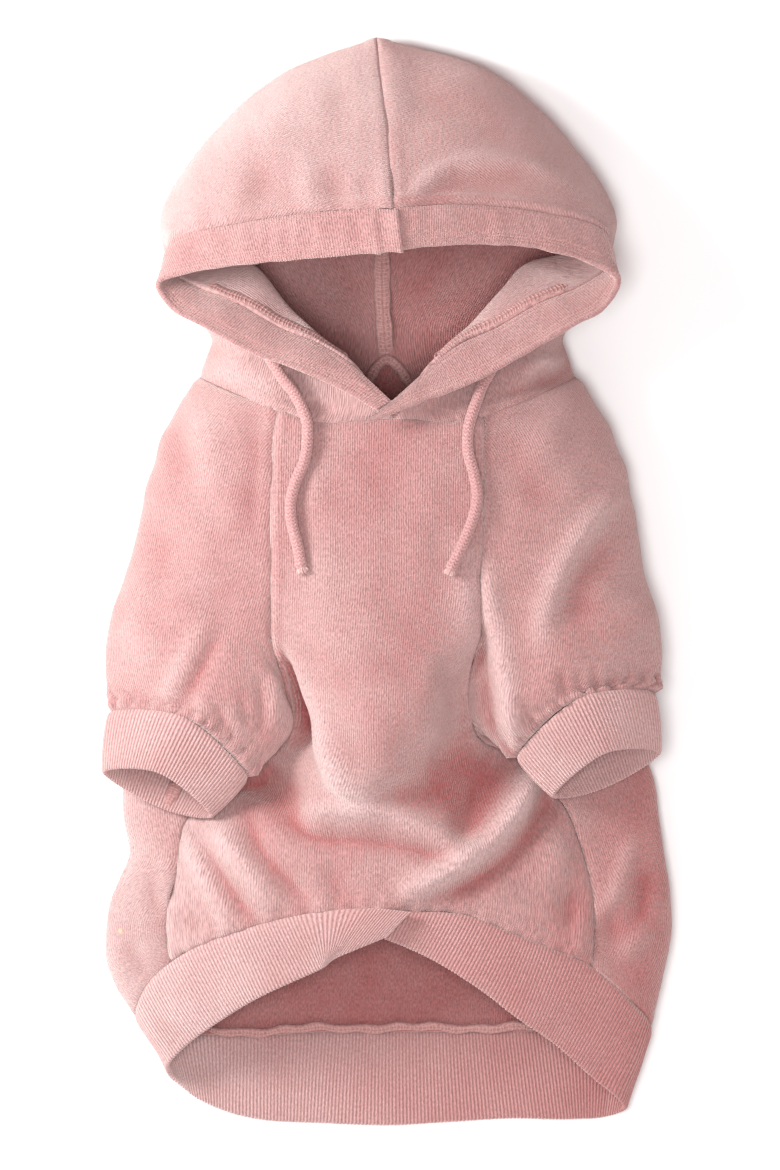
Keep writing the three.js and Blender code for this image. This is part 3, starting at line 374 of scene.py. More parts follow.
BACK_FOLDS = [
    ([(122, -132), (114.4, -153), (109, -167)], 4, 2.8), ([(128, -148), (126, -171)], 5, -2.6),
    ([(110, -165), (112, -177)], 5, -2.0), ([(119, -187), (128, -176)], 4.5, 2.2),
    ([(-134, -126), (-131, -150)], 6, 1.5), ([(-129, -184), (-122, -197)], 5, -2.0),
    ([(-112, -138), (-108, -166)], 5, 1.5), ([(-121, -148), (-114, -171)], 5, -1.8),
]


def catmull(points, steps, closed=False):
    """A centripetal Catmull-Rom curve through points, sampled at steps from 0 to 1."""
    count = len(points)
    spans = count if closed else count - 1
    place = np.asarray(steps, float) * spans
    index = np.minimum(place.astype(int), spans - 1)
    w = (place - index).reshape((-1,) + (1,) * (points.ndim - 1))
    if closed:
        a, b, c, d = (points[(index + k) % count] for k in (-1, 0, 1, 2))
    else:
        padded = np.concatenate([[2 * points[0] - points[1]], points, [2 * points[-1] - points[-2]]])
        a, b, c, d = (padded[index + k] for k in range(4))

    def knot(p, q):
        return np.maximum(np.linalg.norm(q - p, axis=-1, keepdims=True), 1e-6) ** 0.5

    r, s, t = knot(a, b), knot(b, c), knot(c, d)
    m = ((b - a) / r - (c - a) / (r + s) + (c - b) / s) * s
    n = ((c - b) / s - (d - b) / (s + t) + (d - c) / t) * s
    return b + w * (m + w * (3 * (c - b) - 2 * m - n + w * (2 * (b - c) + m + n)))


def reach_along(line):
    """Distance of every point of a line from its start."""
    return np.concatenate([[0], np.cumsum(np.linalg.norm(np.diff(line, axis=0), axis=-1))])


def even_steps(points, spacing, closed=False):
    """Steps along the first axis of a table of points, nearly evenly spaced in millimetres."""
    loop = np.concatenate([points, points[:1]]) if closed else points
    gaps = np.linalg.norm(np.diff(loop, axis=0), axis=-1)
    gaps = gaps.reshape(len(gaps), -1).mean(axis=1)
    reach = np.concatenate([[0], np.cumsum(gaps)])
    count = math.ceil(reach[-1] / spacing)
    return np.interp(np.linspace(0, reach[-1], count + 1), reach, np.linspace(0, 1, len(reach)))


def lofted(rows, spacing):
    """Points along and across a panel whose table has these rows."""
    across = catmull(rows.transpose(1, 0, 2), even_steps(rows.transpose(1, 0, 2), spacing))
    sections = across.transpose(1, 0, 2)
    return catmull(sections, even_steps(sections, spacing))


def relaxed(points, passes):
    """The same panel with its inner points evened out."""
    points = points.copy()
    for _ in range(passes):
        inner = points[:-2, 1:-1] + points[2:, 1:-1] + points[1:-1, :-2] + points[1:-1, 2:]
        points[1:-1, 1:-1] = inner / 4
    return points


def normals_of(points, sign):
    """The unit normal at each point, sign times along cross across."""
    along = np.gradient(points, axis=0)
    across = np.gradient(points, axis=1)
    normal = np.cross(along, across) * sign
    return normal / np.maximum(np.linalg.norm(normal, axis=-1, keepdims=True), 1e-9)


def meet(edge, inner, curve, reach=5.0):
    """Bring an edge of a panel onto a seam curve, and ease the points beside it along."""
    samples = catmull(curve, np.linspace(0, 1, 600))
    gap = np.linalg.norm(edge[:, None] - samples[None], axis=-1)
    nearest = gap.argmin(axis=1)
    near = gap.min(axis=1) < np.where((nearest == 0) | (nearest == 599), 0.8, reach)
    pull = (samples[nearest] - edge) * near[:, None]
    pull = eased(pull, 4)
    for k in range(inner.shape[0]):
        inner[k] += pull * (1 - k / inner.shape[0]) ** 2


def first_columns(points, count=12):
    """Columns from the first edge inwards, as rows; last_columns does so from the other edge."""
    return points[:, :count].transpose(1, 0, 2)


def last_columns(points, count=12):
    return points[:, :-count - 1:-1].transpose(1, 0, 2)


def from_edge(points, side):
    """Distance of every point from one edge of its panel, in millimetres along the cloth."""
    turned = {"first_row": points, "last_row": points[::-1], "first_column": points.transpose(1, 0, 2),
              "last_column": points[:, ::-1].transpose(1, 0, 2)}[side]
    steps = np.linalg.norm(np.diff(turned, axis=0), axis=-1)
    reach = np.concatenate([np.zeros((1, turned.shape[1])), np.cumsum(steps, axis=0)])
    if side == "first_row":
        return reach
    if side == "last_row":
        return reach[::-1]
    return reach.T if side == "first_column" else reach.T[:, ::-1]


def bump(distance, width):
    return np.exp(-((distance / width) ** 2))


def ripple(distance, pitch, sway=0.0, sway_length=1.0):
    """Waves along a distance, whose spacing sways."""
    return np.sin(distance * math.tau / pitch + sway * np.sin(distance / sway_length))


def fold_height(points, normals, folds):
    """Height of the folds over the upper face of a panel."""
    height = np.zeros(points.shape[:2])
    upper = np.clip(normals[..., 2] * 3 + 0.2, 0, 1)
    xy = points[..., :2]
    for path, width, rise in folds:
        path = catmull(np.array(path, float), np.linspace(0, 1, 9 * len(path)))
        share = np.linspace(-1, 1, len(path))
        taper = 1 - 0.75 * np.abs(share) ** 5
        away = np.linalg.norm(xy[:, :, None] - path[None, None], axis=-1)
        height += rise * (bump(away, width) * taper).max(axis=-1)
    return height * upper


def uneven(points, seed, size=26.0, height=0.35):
    """Gentle unevenness of soft cloth, a sum of seeded waves."""
    draw = random.Random(seed)
    total = np.zeros(points.shape[:2])
    for _ in range(9):
        turn = draw.uniform(0, math.tau)
        wave = size * draw.uniform(0.55, 1.5)
        phase = draw.uniform(0, math.tau)
        axis = np.array([math.cos(turn), math.sin(turn), draw.uniform(-0.6, 0.6)])
        total += np.sin(points @ axis * math.tau / wave + phase)
    return total * height / 3


def resting(points, wall):
    """Keeps a wall of cloth above the table."""
    points = points.copy()
    points[..., 2] = np.maximum(points[..., 2], wall / 2)
    return points


def eased(line, passes):
    """A line with its small turns smoothed away and its ends kept."""
    line = np.array(line, float)
    for _ in range(passes):
        line[1:-1] = (line[:-2] + 2 * line[1:-1] + line[2:]) / 4
    return line


def leaned(points):
    """The hood's pieces lean with their centre seam, except for the layer on the table."""
    points = points.copy()
    along = (points[..., 1] - NECK_Y) / HOOD_LENGTH
    full = np.interp(along, *zip(*CENTRE_SEAM)) * HOOD_HALF_WIDTH
    near = np.clip(1 - np.abs(points[..., 0]) / (LEAN_REACH * HOOD_HALF_WIDTH), 0, 1)
    upper = np.where(full > 0, np.clip(points[..., 2] / HOOD_HEIGHT, 0, 1), 1)
    points[..., 0] += full * near * upper
    return points


def cloth_coordinates(points):
    """Place of every point in its flat cloth, in metres: across from the middle, and along."""
    across = from_edge(points, "first_column")
    middle = points.shape[1] // 2
    across = across - across[:, middle:middle + 1]
    along = np.repeat(from_edge(points, "first_row")[:, middle:middle + 1], points.shape[1], axis=1)
    return np.stack([across, along], axis=-1) * MM


def grid_piece(name, points, cloth, weld=0.0, depth=None):
    """A mesh over a grid of points, with the cloth's own coordinates as its UV map.

    Its attribute of painted light is 0 in the hollows of the folds, for painted shade, 0.5 on level cloth
    and 1 on the ridges, for a painted highlight.
    """
    rows, columns = points.shape[:2]
    bm = bmesh.new()
    bmesh.ops.create_grid(bm, x_segments=columns - 1, y_segments=rows - 1, size=0.5)
    mesh = bpy.data.meshes.new(name)
    bm.to_mesh(mesh)
    bm.free()
    flat = np.empty(len(mesh.vertices) * 3)
    mesh.vertices.foreach_get("co", flat)
    flat = flat.reshape(-1, 3)
    column = np.rint((flat[:, 0] + 0.5) * (columns - 1)).astype(int)
    row = np.rint((flat[:, 1] + 0.5) * (rows - 1)).astype(int)
    mesh.vertices.foreach_set("co", (points[row, column] * MM).ravel())
    corners = np.empty(len(mesh.loops), dtype=np.int32)
    mesh.loops.foreach_get("vertex_index", corners)
    layer = mesh.uv_layers.new(name="Cloth")
    layer.data.foreach_set("uv", cloth[row[corners], column[corners]].astype(np.float32).ravel())
    # Painted light and shade for the colour ramp; 0.5, where none is given, paints none
    share = np.full(points.shape[:2], 0.5) if depth is None else np.clip(depth, 0, 1)
    mesh.attributes.new("Depth", "FLOAT", "POINT")
    mesh.attributes["Depth"].data.foreach_set("value", share[row, column].astype(np.float32))
    if weld:
        bm = bmesh.new()
        bm.from_mesh(mesh)
        bmesh.ops.remove_doubles(bm, verts=bm.verts, dist=weld)
        bmesh.ops.holes_fill(bm, edges=[edge for edge in bm.edges if edge.is_boundary], sides=0)
        bmesh.ops.recalc_face_normals(bm, faces=bm.faces)
        bm.to_mesh(mesh)
        bm.free()
    mesh.polygons.foreach_set("use_smooth", np.ones(len(mesh.polygons), dtype=bool))
    mesh.update()
    piece = bpy.data.objects.new(name, mesh)
    bpy.context.scene.collection.objects.link(piece)
    return piece


def thicken(piece, thickness):
    """Gives a sheet its wall, half of it to each side."""
    wall = piece.modifiers.new("wall", "SOLIDIFY")
    wall.thickness = thickness * MM
    wall.offset = 0


def finish_piece(piece, finish, slot, *nodes):
    """Gives a piece its material, hangs it on the frame's root body and hides the CAD parts it stands for.
    """
    piece.data.materials.append(materials[finish])
    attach(piece, "root")
    if nodes:
        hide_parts(*nodes)
    return piece


def panel(name, points, normals, height, node, depth):
    """One wall of velour: the grid displaced by its folds, with a thickness."""
    shaped = resting(points + normals * height[..., None], VELOUR)
    if "hood" in node:
        shaped = leaned(shaped)
    # depth is the panel's painted light and shade for the colour ramp
    piece = grid_piece(name, shaped, cloth_coordinates(points), depth=depth)
    thicken(piece, VELOUR)
    finish_piece(piece, "velour", "velour", node)
    return shaped


# The tables' shares as points in millimetres
def body_point(share, side):
    across, down, up = share
    return (side * across * HALF_WIDTH, NECK_Y - down * BODY_LENGTH, up * LOFT)


def hood_point(share, side):
    across, along, up = share
    return (side * across * HOOD_HALF_WIDTH, NECK_Y + along * HOOD_LENGTH, up * HOOD_HEIGHT)


def reach_from(start, reach, side, size):
    across, down, up = reach
    return np.array(start) + np.array([side * across, -down, up]) * size


def sleeve_rows(side):
    rows = []
    for row, (*moves, lift) in zip(SLEEVE_ROWS, RIGHT_SLEEVE_SHIFT):
        points = []
        for (across, down, up), move in zip(row, moves):
            if side > 0:
                across, down = across + move, down - lift
            points.append(body_point((across, down, up), side))
        rows.append(points)
    return np.array(rows)


def back_rows(side):
    rows = []
    for row, moves in zip(BACK_ROWS, RIGHT_BACK_SHIFT):
        points = []
        for place, (across, down, up) in enumerate(row):
            if side > 0 and place < len(moves):
                across, down = across + moves[place][0], down - moves[place][1]
            points.append(body_point((across, down, up), side))
        rows.append(points)
    return np.array(rows)


def hem_rows(side):
    rows = []
    for place, row in enumerate(HEM_ROWS):
        line, reach = np.array(row)
        if side > 0 and place in RIGHT_HEM_SHIFT:
            line, reach = np.array(row) + RIGHT_HEM_SHIFT[place]
        start = hood_point(line, side)
        rows.append([start, reach_from(start, reach, side, HEM_WIDTH)])
    return np.array(rows)


def neck_row(side):
    return np.array([body_point(share, side) for share in NECK_ROW])


def band_rows():
    starts = [body_point(seam, -1) for seam, _ in BAND_ROWS]
    ends = [reach_from(start, reach, -1, BAND_WIDTH) for start, (_, reach) in zip(starts, BAND_ROWS)]
    return np.stack([np.array(starts), np.array(ends)], axis=1)


def roll(points, sides, depth=1.1, ridge=0.3):
    """The edge of a panel rolls down into its seam, with a slight ridge beside it."""
    height = np.zeros(points.shape[:2])
    for side in sides:
        distance = from_edge(points, side)
        height += ridge * bump(distance - 4.2, 2.2) - depth * bump(distance, 1.9)
    return height


def hood(side, word):
    lines = hem_rows(side)[:, 0]
    rows = [neck_row(side)]
    for line, row in zip(lines[1:], HOOD_ROWS):
        rows.append(np.array([line] + [hood_point(share, side) for share in row]))
    points = relaxed(lofted(np.array(rows), SPACING), 14)
    meet(points[:, 0], first_columns(points), lines[1:])
    points[..., 0] = side * np.maximum(side * points[..., 0], 0.12)
    normals = normals_of(points, -side)
    height = roll(points, ("last_row", "last_column"), 0.8, 0.45)
    height = height + roll(points, ("first_row", "first_column"))
    folds = fold_height(points, normals, HOOD_FOLDS)
    upper = np.clip((points[..., 1] - 165) / 12, 0, 1) * np.clip((points[..., 2] - 35) / 10, 0, 1)
    welt = bump(from_edge(points, "first_column") - 4.4, 1.7)
    height += folds + uneven(points, 11 + side, 34, 0.4) + (0.9 if side > 0 else 0.5) * welt * upper
    # Painted light: the left hood painted paler than the right, painted shade in the hollows of the folds
    # and a painted highlight on their ridges, and painted shade on the cloth low down by the table, which
    # shows inside the hood
    depth = (0.67 if side < 0 else 0.55) + folds / 11 - 0.3 * np.clip((26 - points[..., 2]) / 20, 0, 1)
    shaped = panel(f"hood_{word}_velour", points, normals, height, f"hood_{word}", depth)
    rim = from_edge(points, "first_column")
    rows_at_rim = [i for i in range(len(points)) if 101 < points[i, 0, 1] < 147 and points[i, 0, 2] < 60
                   and 16 < side * points[i, 0, 0] < 104]
    ups = [normals[i, np.abs(rim[i] - 4.0).argmin()] for i in rows_at_rim]
    ups = [up if up[2] > 0 else -up for up in ups]
    path = [shaped[i, np.abs(rim[i] - 4.0).argmin()] + up * 0.8 for i, up in zip(rows_at_rim, ups)]
    overlock(f"hood_{word}_rim_overlock", eased(path, 8), eased(ups, 30), RIM_OVERLOCK, 31 + side, 0.5)
    front = slice(int(points.shape[1] * 0.45))
    topstitch(f"hood_{word}_neck_topstitch", [shaped[2, front] + normals[2, front]], HOOD_STITCH_RADIUS)


def chest():
    rows = np.array([[body_point(share, -1) for share in row] for row in CHEST_ROWS])
    points = relaxed(lofted(rows, SPACING), 16)
    for side, columns in ((-1, first_columns(points)), (1, last_columns(points))):
        meet(columns[0], columns, sleeve_rows(side)[:ARMPIT_ROW + 1, 0])
        meet(columns[0], columns, back_rows(side)[ARMPIT_ROW - 2:, 0], 9)
        meet(points[0], points[:12], neck_row(side), 6)
    meet(points[-1], points[:-13:-1], band_rows()[:, 0], 15)
    normals = normals_of(points, 1)
    edges = np.minimum(from_edge(points, "first_column"), from_edge(points, "last_column"))
    calm = 1 - 0.85 * bump(edges, 4)
    folds = fold_height(points, normals, CHEST_FOLDS) * calm
    height = folds + uneven(points, 5, 30, 0.5)
    height += roll(points, ("first_row", "last_row", "first_column", "last_column"))
    down = from_edge(points, "first_row")
    raglan = np.clip((150 - down) / 15, 0, 1)
    pucker = ripple(down, 10, 1.7, 13) * bump(edges - 7, 6)
    height += (0.6 - 0.4 * raglan) * pucker
    height += raglan * 0.7 * bump(edges - 2.8, 2.0)
    waist = from_edge(points, "last_row")
    gathers = np.sin(from_edge(points, "first_column") * math.tau / 11 + 2 * np.sin(points[..., 0] / 17))
    height += 0.55 * gathers * bump(waist, 11)
    # Painted light: painted shade in the hollows of the folds and a painted highlight on their ridges, the
    # left edge painted paler and the right edge darker
    depth = 0.5 + folds / 15 + 0.3 * np.clip((-70 - points[..., 0]) / 40, 0, 1)
    depth -= 0.25 * np.clip((points[..., 0] - 70) / 30, 0, 1)
    shaped = panel("chest_velour", points, normals, height, "chest_panel", depth)
    lines = []
    count = int((down[:, 0] < 150).sum())
    for side in ("first_column", "last_column"):
        away = from_edge(points, side)
        for place in (1.5, 4.0):
            column = np.abs(away - place).argmin(axis=1)
            rows = np.arange(2, count)
            lines.append(shaped[rows, column[:count][2:]] + normals[rows, column[:count][2:]])
    topstitch("raglan_topstitch", lines, RAGLAN_STITCH_RADIUS)
    for word, column in (("left", 0), ("right", -1)):
        allowance(f"side_seam_allowance_{word}", points[:, column] - normals[:, column] * 2.0,
                  normals[:, column], 7.0)
    middle = slice(points.shape[1] // 3, -points.shape[1] // 4)
    allowance("neck_seam_allowance", points[0, middle] + (0, 2.0, -2.2), normals[0, middle], 8.0)


def back():
    left, right = back_rows(-1), back_rows(1)
    rows = np.concatenate([left, right[:, -2::-1]], axis=1)
    points = relaxed(lofted(rows, BACK_SPACING), 8)
    for side, columns in ((-1, first_columns(points)), (1, last_columns(points))):
        meet(columns[0], columns, back_rows(side)[ARMPIT_ROW - 1:, 0])
    meet(points[-1], points[:-13:-1], band_rows()[:, 0], 15)
    normals = normals_of(points, -1)
    folds = fold_height(points, normals, BACK_FOLDS)
    height = folds + uneven(points, 8, 30, 0.4)
    height += roll(points, ("first_row", "last_row", "first_column", "last_column"))
    # Painted light: painted shade in the hollows of the folds and a painted highlight on their ridges,
    # painted shade on the cloth low down by the table, seen inside the waist, and the left flank painted
    # paler, the right darker
    depth = 0.5 + folds / 12 - 0.35 * np.clip((9 - points[..., 2]) / 6, 0, 1)
    across = points[..., 0]
    depth += 0.3 * np.clip((-95 - across) / 30, 0, 1) - 0.3 * np.clip((across - 95) / 30, 0, 1)
    panel("back_velour", points, normals, height, "back_panel", depth)


def sleeve(side, word):
    points = relaxed(lofted(sleeve_rows(side), SPACING), 12)
    meet(points[0], points[:12], neck_row(side), 6)
    apart = points[:, -1] - points[:, 0]
    closing = np.clip((9 - np.linalg.norm(apart, axis=-1)) / 5, 0, 1)
    closing[:len(closing) // 2] = 0
    for k in range(8):
        share = closing[:, None] * (1 - k / 8) ** 2 / 2
        points[:, k] += apart * share
        points[:, -1 - k] -= apart * share
    normals = normals_of(points, side)
    folds = fold_height(points, normals, LEFT_SLEEVE_FOLDS if side < 0 else RIGHT_SLEEVE_FOLDS)
    height = folds + uneven(points, 21 + side, 30, 0.45)
    height += (roll(points, ("first_row", "first_column", "last_column"))
               + roll(points, ("last_row",), 2.0, 0.8))
    cuff_way = from_edge(points, "last_row")
    around = from_edge(points, "first_column")
    gather = ripple(around, 8.3, 1.5, 11) + 0.6 * ripple(around, 5.1)
    height += 1.5 * gather * bump(cuff_way - 4.6, 5.0) * (1 - bump(cuff_way, 2.8))
    # The last argument is painted light: painted shade in the hollows of the folds and a painted highlight
    # on their ridges
    panel(f"sleeve_{word}_velour", points, normals, height, f"sleeve_{word}", 0.5 + folds / 13)


def folded_band(name, middle, normals, wall, relief, node, finish, slot, ribbed=True, ring=False,
                pale=(0.5, 0.0)):
    """A band folded double at its free edge: its seam edge is column 0 of middle.

    pale is painted light: the band's tone on the colour ramp is its first value, and falls by the second
    per millimetre to the right.
    """
    outward = middle[:, -1] - middle[:, -2]
    outward /= np.linalg.norm(outward, axis=-1, keepdims=True)
    width = from_edge(middle, "first_column")
    half = wall / 2 * (1 - SEAM_PINCH * bump(width, 1.6)) + relief * (1 - bump(width, 1.6))
    columns = [middle[:, j] + normals[:, j] * half[:, j, None] for j in range(middle.shape[1])]
    for turn in (60, 30, 0, -30, -60):
        angle = math.radians(turn)
        spoke = outward * math.cos(angle) + normals[:, -1] * math.sin(angle)
        columns.append(middle[:, -1] + spoke * half[:, -1, None])
    columns += [middle[:, j] - normals[:, j] * half[:, j, None] for j in reversed(range(middle.shape[1]))]
    columns.append(columns[0])
    points = np.stack(columns, axis=1)
    points[..., 2] = np.maximum(points[..., 2], 0.0)
    if ring:
        points = np.concatenate([points, points[:1]])
    cloth = cloth_coordinates(points)[..., ::-1]
    if ribbed:
        cloth[..., 0] = (np.arange(len(points)) / STEPS_PER_RIB * RIB_PITCH * MM)[:, None]
    if "hem" in name:
        points = leaned(points)
    piece = grid_piece(name, points, cloth, 1e-6, pale[0] - pale[1] * points[..., 0])
    return finish_piece(piece, finish, slot, node)


def ribs(count):
    """Relief of the ribs, a groove at every sixth step."""
    phase = np.arange(count) / STEPS_PER_RIB * math.pi
    return RIB_HEIGHT * (np.abs(np.sin(phase)) ** 0.8 - 0.5)


def rib_steps(curve, closed=False):
    """Steps along a band that give each rib the same number of sections."""
    fine = catmull(curve, np.linspace(0, 1, 2000), closed)
    reach = reach_along(fine)
    count = round(reach[-1] / RIB_PITCH) * STEPS_PER_RIB
    return np.interp(np.linspace(0, reach[-1], count + 1), reach, np.linspace(0, 1, 2000))


def waistband():
    band = band_rows()
    steps = rib_steps(band.mean(axis=1))
    seam, edge = catmull(band[:, 0], steps), catmull(band[:, 1], steps)
    shares = np.linspace(0, 1, BAND_COLUMNS)[None, :, None]
    middle = resting(seam[:, None] * (1 - shares) + edge[:, None] * shares, RIB)
    normals = normals_of(middle, 1)
    bow = 1.3 * np.sin(shares[..., 0] * math.pi) * np.clip(normals[..., 2], 0, 1)
    middle = middle + normals * (bow + uneven(middle, 3, 46, 0.8) * shares[..., 0])[..., None]
    relief = np.repeat(ribs(len(steps))[:, None], BAND_COLUMNS, axis=1)
    # Painted light: the waistband is painted paler on its left and darker on its right
    folded_band("waistband_rib", middle, normals, RIB, relief, "waistband", "rib", "rib_knit",
                pale=(0.55, 1 / 300))
    inside = [i for i in range(len(middle)) if -93 < middle[i, 0, 0] < 80 and middle[i, 0, 2] < 6]
    path = middle[inside, 0] + np.array([0, 2.0, 1.6])
    drift = 0.7 * np.sin(path[:, 0] / 9) + 0.5 * np.sin(path[:, 0] / 3.1)
    path[:, 1] += drift
    ups = np.repeat([[0.0, -0.35, 0.94]], len(path), axis=0)
    overlock("waist_overlock", path, ups, WAIST_OVERLOCK, 44)


def cuff(side, word):
    start = sleeve_rows(side)[-1, :-1]
    end = np.array([reach_from(p, reach, side, CUFF_LENGTH) for p, reach in zip(start, CUFF_REACH)])
    steps = rib_steps((start + end) / 2, True)[:-1]
    seam, mouth = catmull(start, steps, True), catmull(end, steps, True)
    shares = np.linspace(0.01, 1, CUFF_COLUMNS)[None, :, None]
    middle = seam[:, None] * (1 - shares) + mouth[:, None] * shares
    normals = normals_of(np.concatenate([middle[-1:], middle, middle[:1]]), -side)[1:-1]
    relief = np.repeat(ribs(len(steps))[:, None], CUFF_COLUMNS, axis=1)
    middle = middle + normals * (0.8 * np.sin(shares[..., 0] * math.pi))[..., None]
    # Painted light: the cuffs are painted paler than level rib all round
    folded_band(f"cuff_{word}_rib", middle, normals, RIB, relief, f"cuff_{word}", "rib", "rib_knit",
                ring=True, pale=(0.7, 0.0))
    place = np.linalg.norm(middle[:, -1, :2] - np.array(CUFF_SEAM[word]), axis=-1).argmin()
    inward = -normals[place, :3:-1]
    path = middle[place, :3:-1] + inward * (RIB / 2 + 0.3)
    overlock(f"cuff_{word}_overlock", path, inward, RIM_OVERLOCK, 51 + side)


def hem(side, word):
    rows = hem_rows(side)
    steps = even_steps(rows, 1.2)
    line, edge = catmull(rows[:, 0], steps), catmull(rows[:, 1], steps)
    shares = np.linspace(0.02, 1, HEM_COLUMNS)[None, :, None]
    middle = line[:, None] * (1 - shares) + edge[:, None] * shares
    normals = normals_of(middle, side)
    to_centre = from_edge(middle, "last_row")
    if side < 0:
        middle = middle + bump(to_centre, 4)[..., None] * np.array([2.6, -0.8, 1.0])
    else:
        middle = middle + bump(from_edge(middle, "first_row"), 11)[..., None] * np.array([-5.0, -3.4, -0.9])
    from_rim = from_edge(middle, "last_column")
    relief = 0.3 * np.sin(shares[..., 0] * math.pi) + uneven(middle, 31 + side, 22, 0.25)
    puckers = ripple(to_centre, 10.5, 1.0, 9) * np.clip(1 - to_centre / 90, 0, 1)
    relief = relief + (0.5 if side < 0 else 0.2) * puckers * np.sin(shares[..., 0] * math.pi)
    if side < 0:
        relief = relief + 0.9 * bump(to_centre - 9, 1.4) + 0.6 * bump(to_centre - 1, 1.6)
    for row in HEM_STITCH_ROWS:
        relief = relief - 0.5 * bump(from_rim - row, 0.55)
    from_line = from_edge(middle, "first_column")
    relief = relief - 0.45 * bump(from_line - 2.4, 0.6)
    name = f"hood_hem_{word}_velour"
    folded_band(name, middle, normals, HEM_TUNNEL, relief, f"hood_hem_{word}", "velour", "velour",
                ribbed=False)
    lines = []
    index = np.arange(2, len(middle) - 2)
    for away, places in ((from_rim, HEM_STITCH_ROWS), (from_line, (2.4,))):
        for place in places:
            column = np.abs(away - place).argmin(axis=1)[2:-2]
            for face in (1, -1):
                half = HEM_TUNNEL / 2 + relief[index, column]
                lines.append(leaned(middle[index, column] + normals[index, column] * face * half[:, None]))
    topstitch(f"hem_topstitch_{word}", lines, HOOD_STITCH_RADIUS)


def nape():
    """The pressed seam inside the hood, which parts into an arch round the leash hole."""
    up = np.array([0.0, 0.0, 1.0])
    spine = np.array([(-2.7, 240, 2.4), (-2.7, 200, 2.4), (-3, 165, 2.4), (-2.6, 140, 2.6),
                      (-1.6, 124, 3.6), (-0.8, 109.5, 5.5)], float)
    spine = catmull(spine, np.linspace(0, 1, 90))
    overlock("hood_centre_overlock", spine, np.repeat(up[None], len(spine), axis=0), CENTRE_OVERLOCK, 61)
    arch = np.array([(-10.5, 97, 5.4), (-8.6, 102, 5.6), (-5, 108, 5.8), (-0.5, 111, 5.9), (4.4, 108, 5.8),
                     (8.8, 102, 5.6), (11.5, 97, 5.4)], float)
    arch = catmull(arch, np.linspace(0, 1, 60))
    ups = np.repeat(up[None], len(arch), axis=0)
    overlock("leash_hole_overlock", arch, ups, LEASH_HOLE_OVERLOCK, 62)


def allowance(name, path, ups, width):
    """The turned-in cloth behind a seam, a plain strip along its path."""
    path = catmull(np.asarray(path, float), even_steps(np.asarray(path, float), 1.6))
    ups = catmull(np.asarray(ups, float), np.linspace(0, 1, len(path)))
    tangent = np.gradient(path, axis=0)
    across = np.cross(tangent, ups)
    across /= np.maximum(np.linalg.norm(across, axis=-1, keepdims=True), 1e-9)
    shares = np.linspace(-0.5, 0.5, 5)[None, :, None]
    points = resting(path[:, None] + across[:, None] * shares * width, 0.9)
    cloth = np.stack([np.repeat(shares[..., 0] * width, len(path), axis=0),
                      np.repeat(reach_along(path)[:, None], 5, axis=1)], axis=-1) * MM
    strip = grid_piece(name, points, cloth)
    thicken(strip, 0.8)
    finish_piece(strip, "velour", "velour")


def overlock(name, path, ups, width, seed, loft=0.9):
    """A seam allowance: a soft strip bound over its edges with slanting threads.

    Its two ends narrow and sink into the cloth.
    """
    path = catmull(np.asarray(path, float), even_steps(np.asarray(path, float), 0.7))
    ups = catmull(np.asarray(ups, float), np.linspace(0, 1, len(path)))
    tangent = np.gradient(path, axis=0)
    tangent /= np.linalg.norm(tangent, axis=-1, keepdims=True)
    across = np.cross(tangent, ups)
    across /= np.linalg.norm(across, axis=-1, keepdims=True)
    draw = random.Random(seed)
    reach = reach_along(path)
    wave = 0.25 * np.sin(reach / 2.3 + draw.uniform(0, 6)) + 0.2 * np.sin(reach / 5.1 + draw.uniform(0, 6))
    inside = np.clip(np.minimum(reach, reach[-1] - reach) / 7, 0, 1)
    path = path - ups * (1.6 * (1 - inside))[:, None]
    shares = np.linspace(-1, 1, 11)
    span = shares[None, :, None] * ((width / 2 + wave) * (0.5 + 0.5 * inside))[:, None, None]
    lift = (loft * (1 - np.abs(shares) ** 3))[None, :, None]
    points = path[:, None] + across[:, None] * span + ups[:, None] * lift
    cloth = np.stack([np.repeat(shares[None] * width / 2, len(path), axis=0),
                      np.repeat(reach[:, None], 11, axis=1)], axis=-1) * MM
    strip = grid_piece(name, points, cloth)
    thicken(strip, 0.9)
    finish_piece(strip, "overlock", "velour")
    starts, ends = [], []
    place = 0.6
    while place < reach[-1] - 1.2:
        i = int(np.searchsorted(reach, place))
        j = min(int(np.searchsorted(reach, place + 0.9)), len(path) - 1)
        starts.append(points[i, 0] + ups[i] * 0.35)
        ends.append(points[j, 5] + ups[j] * 0.8)
        starts.append(points[j, 5] + ups[j] * 0.8)
        ends.append(points[i, 10] + ups[i] * 0.35)
        place += 1.9 * draw.uniform(0.75, 1.25)
    finish_piece(stitches(f"{name}_threads", starts, ends, OVERLOCK_THREAD_RADIUS), "thread", "velour")


def topstitch(name, lines, radius):
    """Rows of running stitches along lines, as one piece of thread."""
    starts, ends = [], []
    for line in lines:
        reach = reach_along(line)
        count = max(int(reach[-1] / TOPSTITCH), 1)
        at = np.arange(count) * reach[-1] / count
        stop = at + 0.78 * reach[-1] / count
        starts += list(np.stack([np.interp(at, reach, line[:, k]) for k in range(3)], axis=-1))
        ends += list(np.stack([np.interp(stop, reach, line[:, k]) for k in range(3)], axis=-1))
    finish_piece(stitches(name, starts, ends, radius), "thread", "velour")


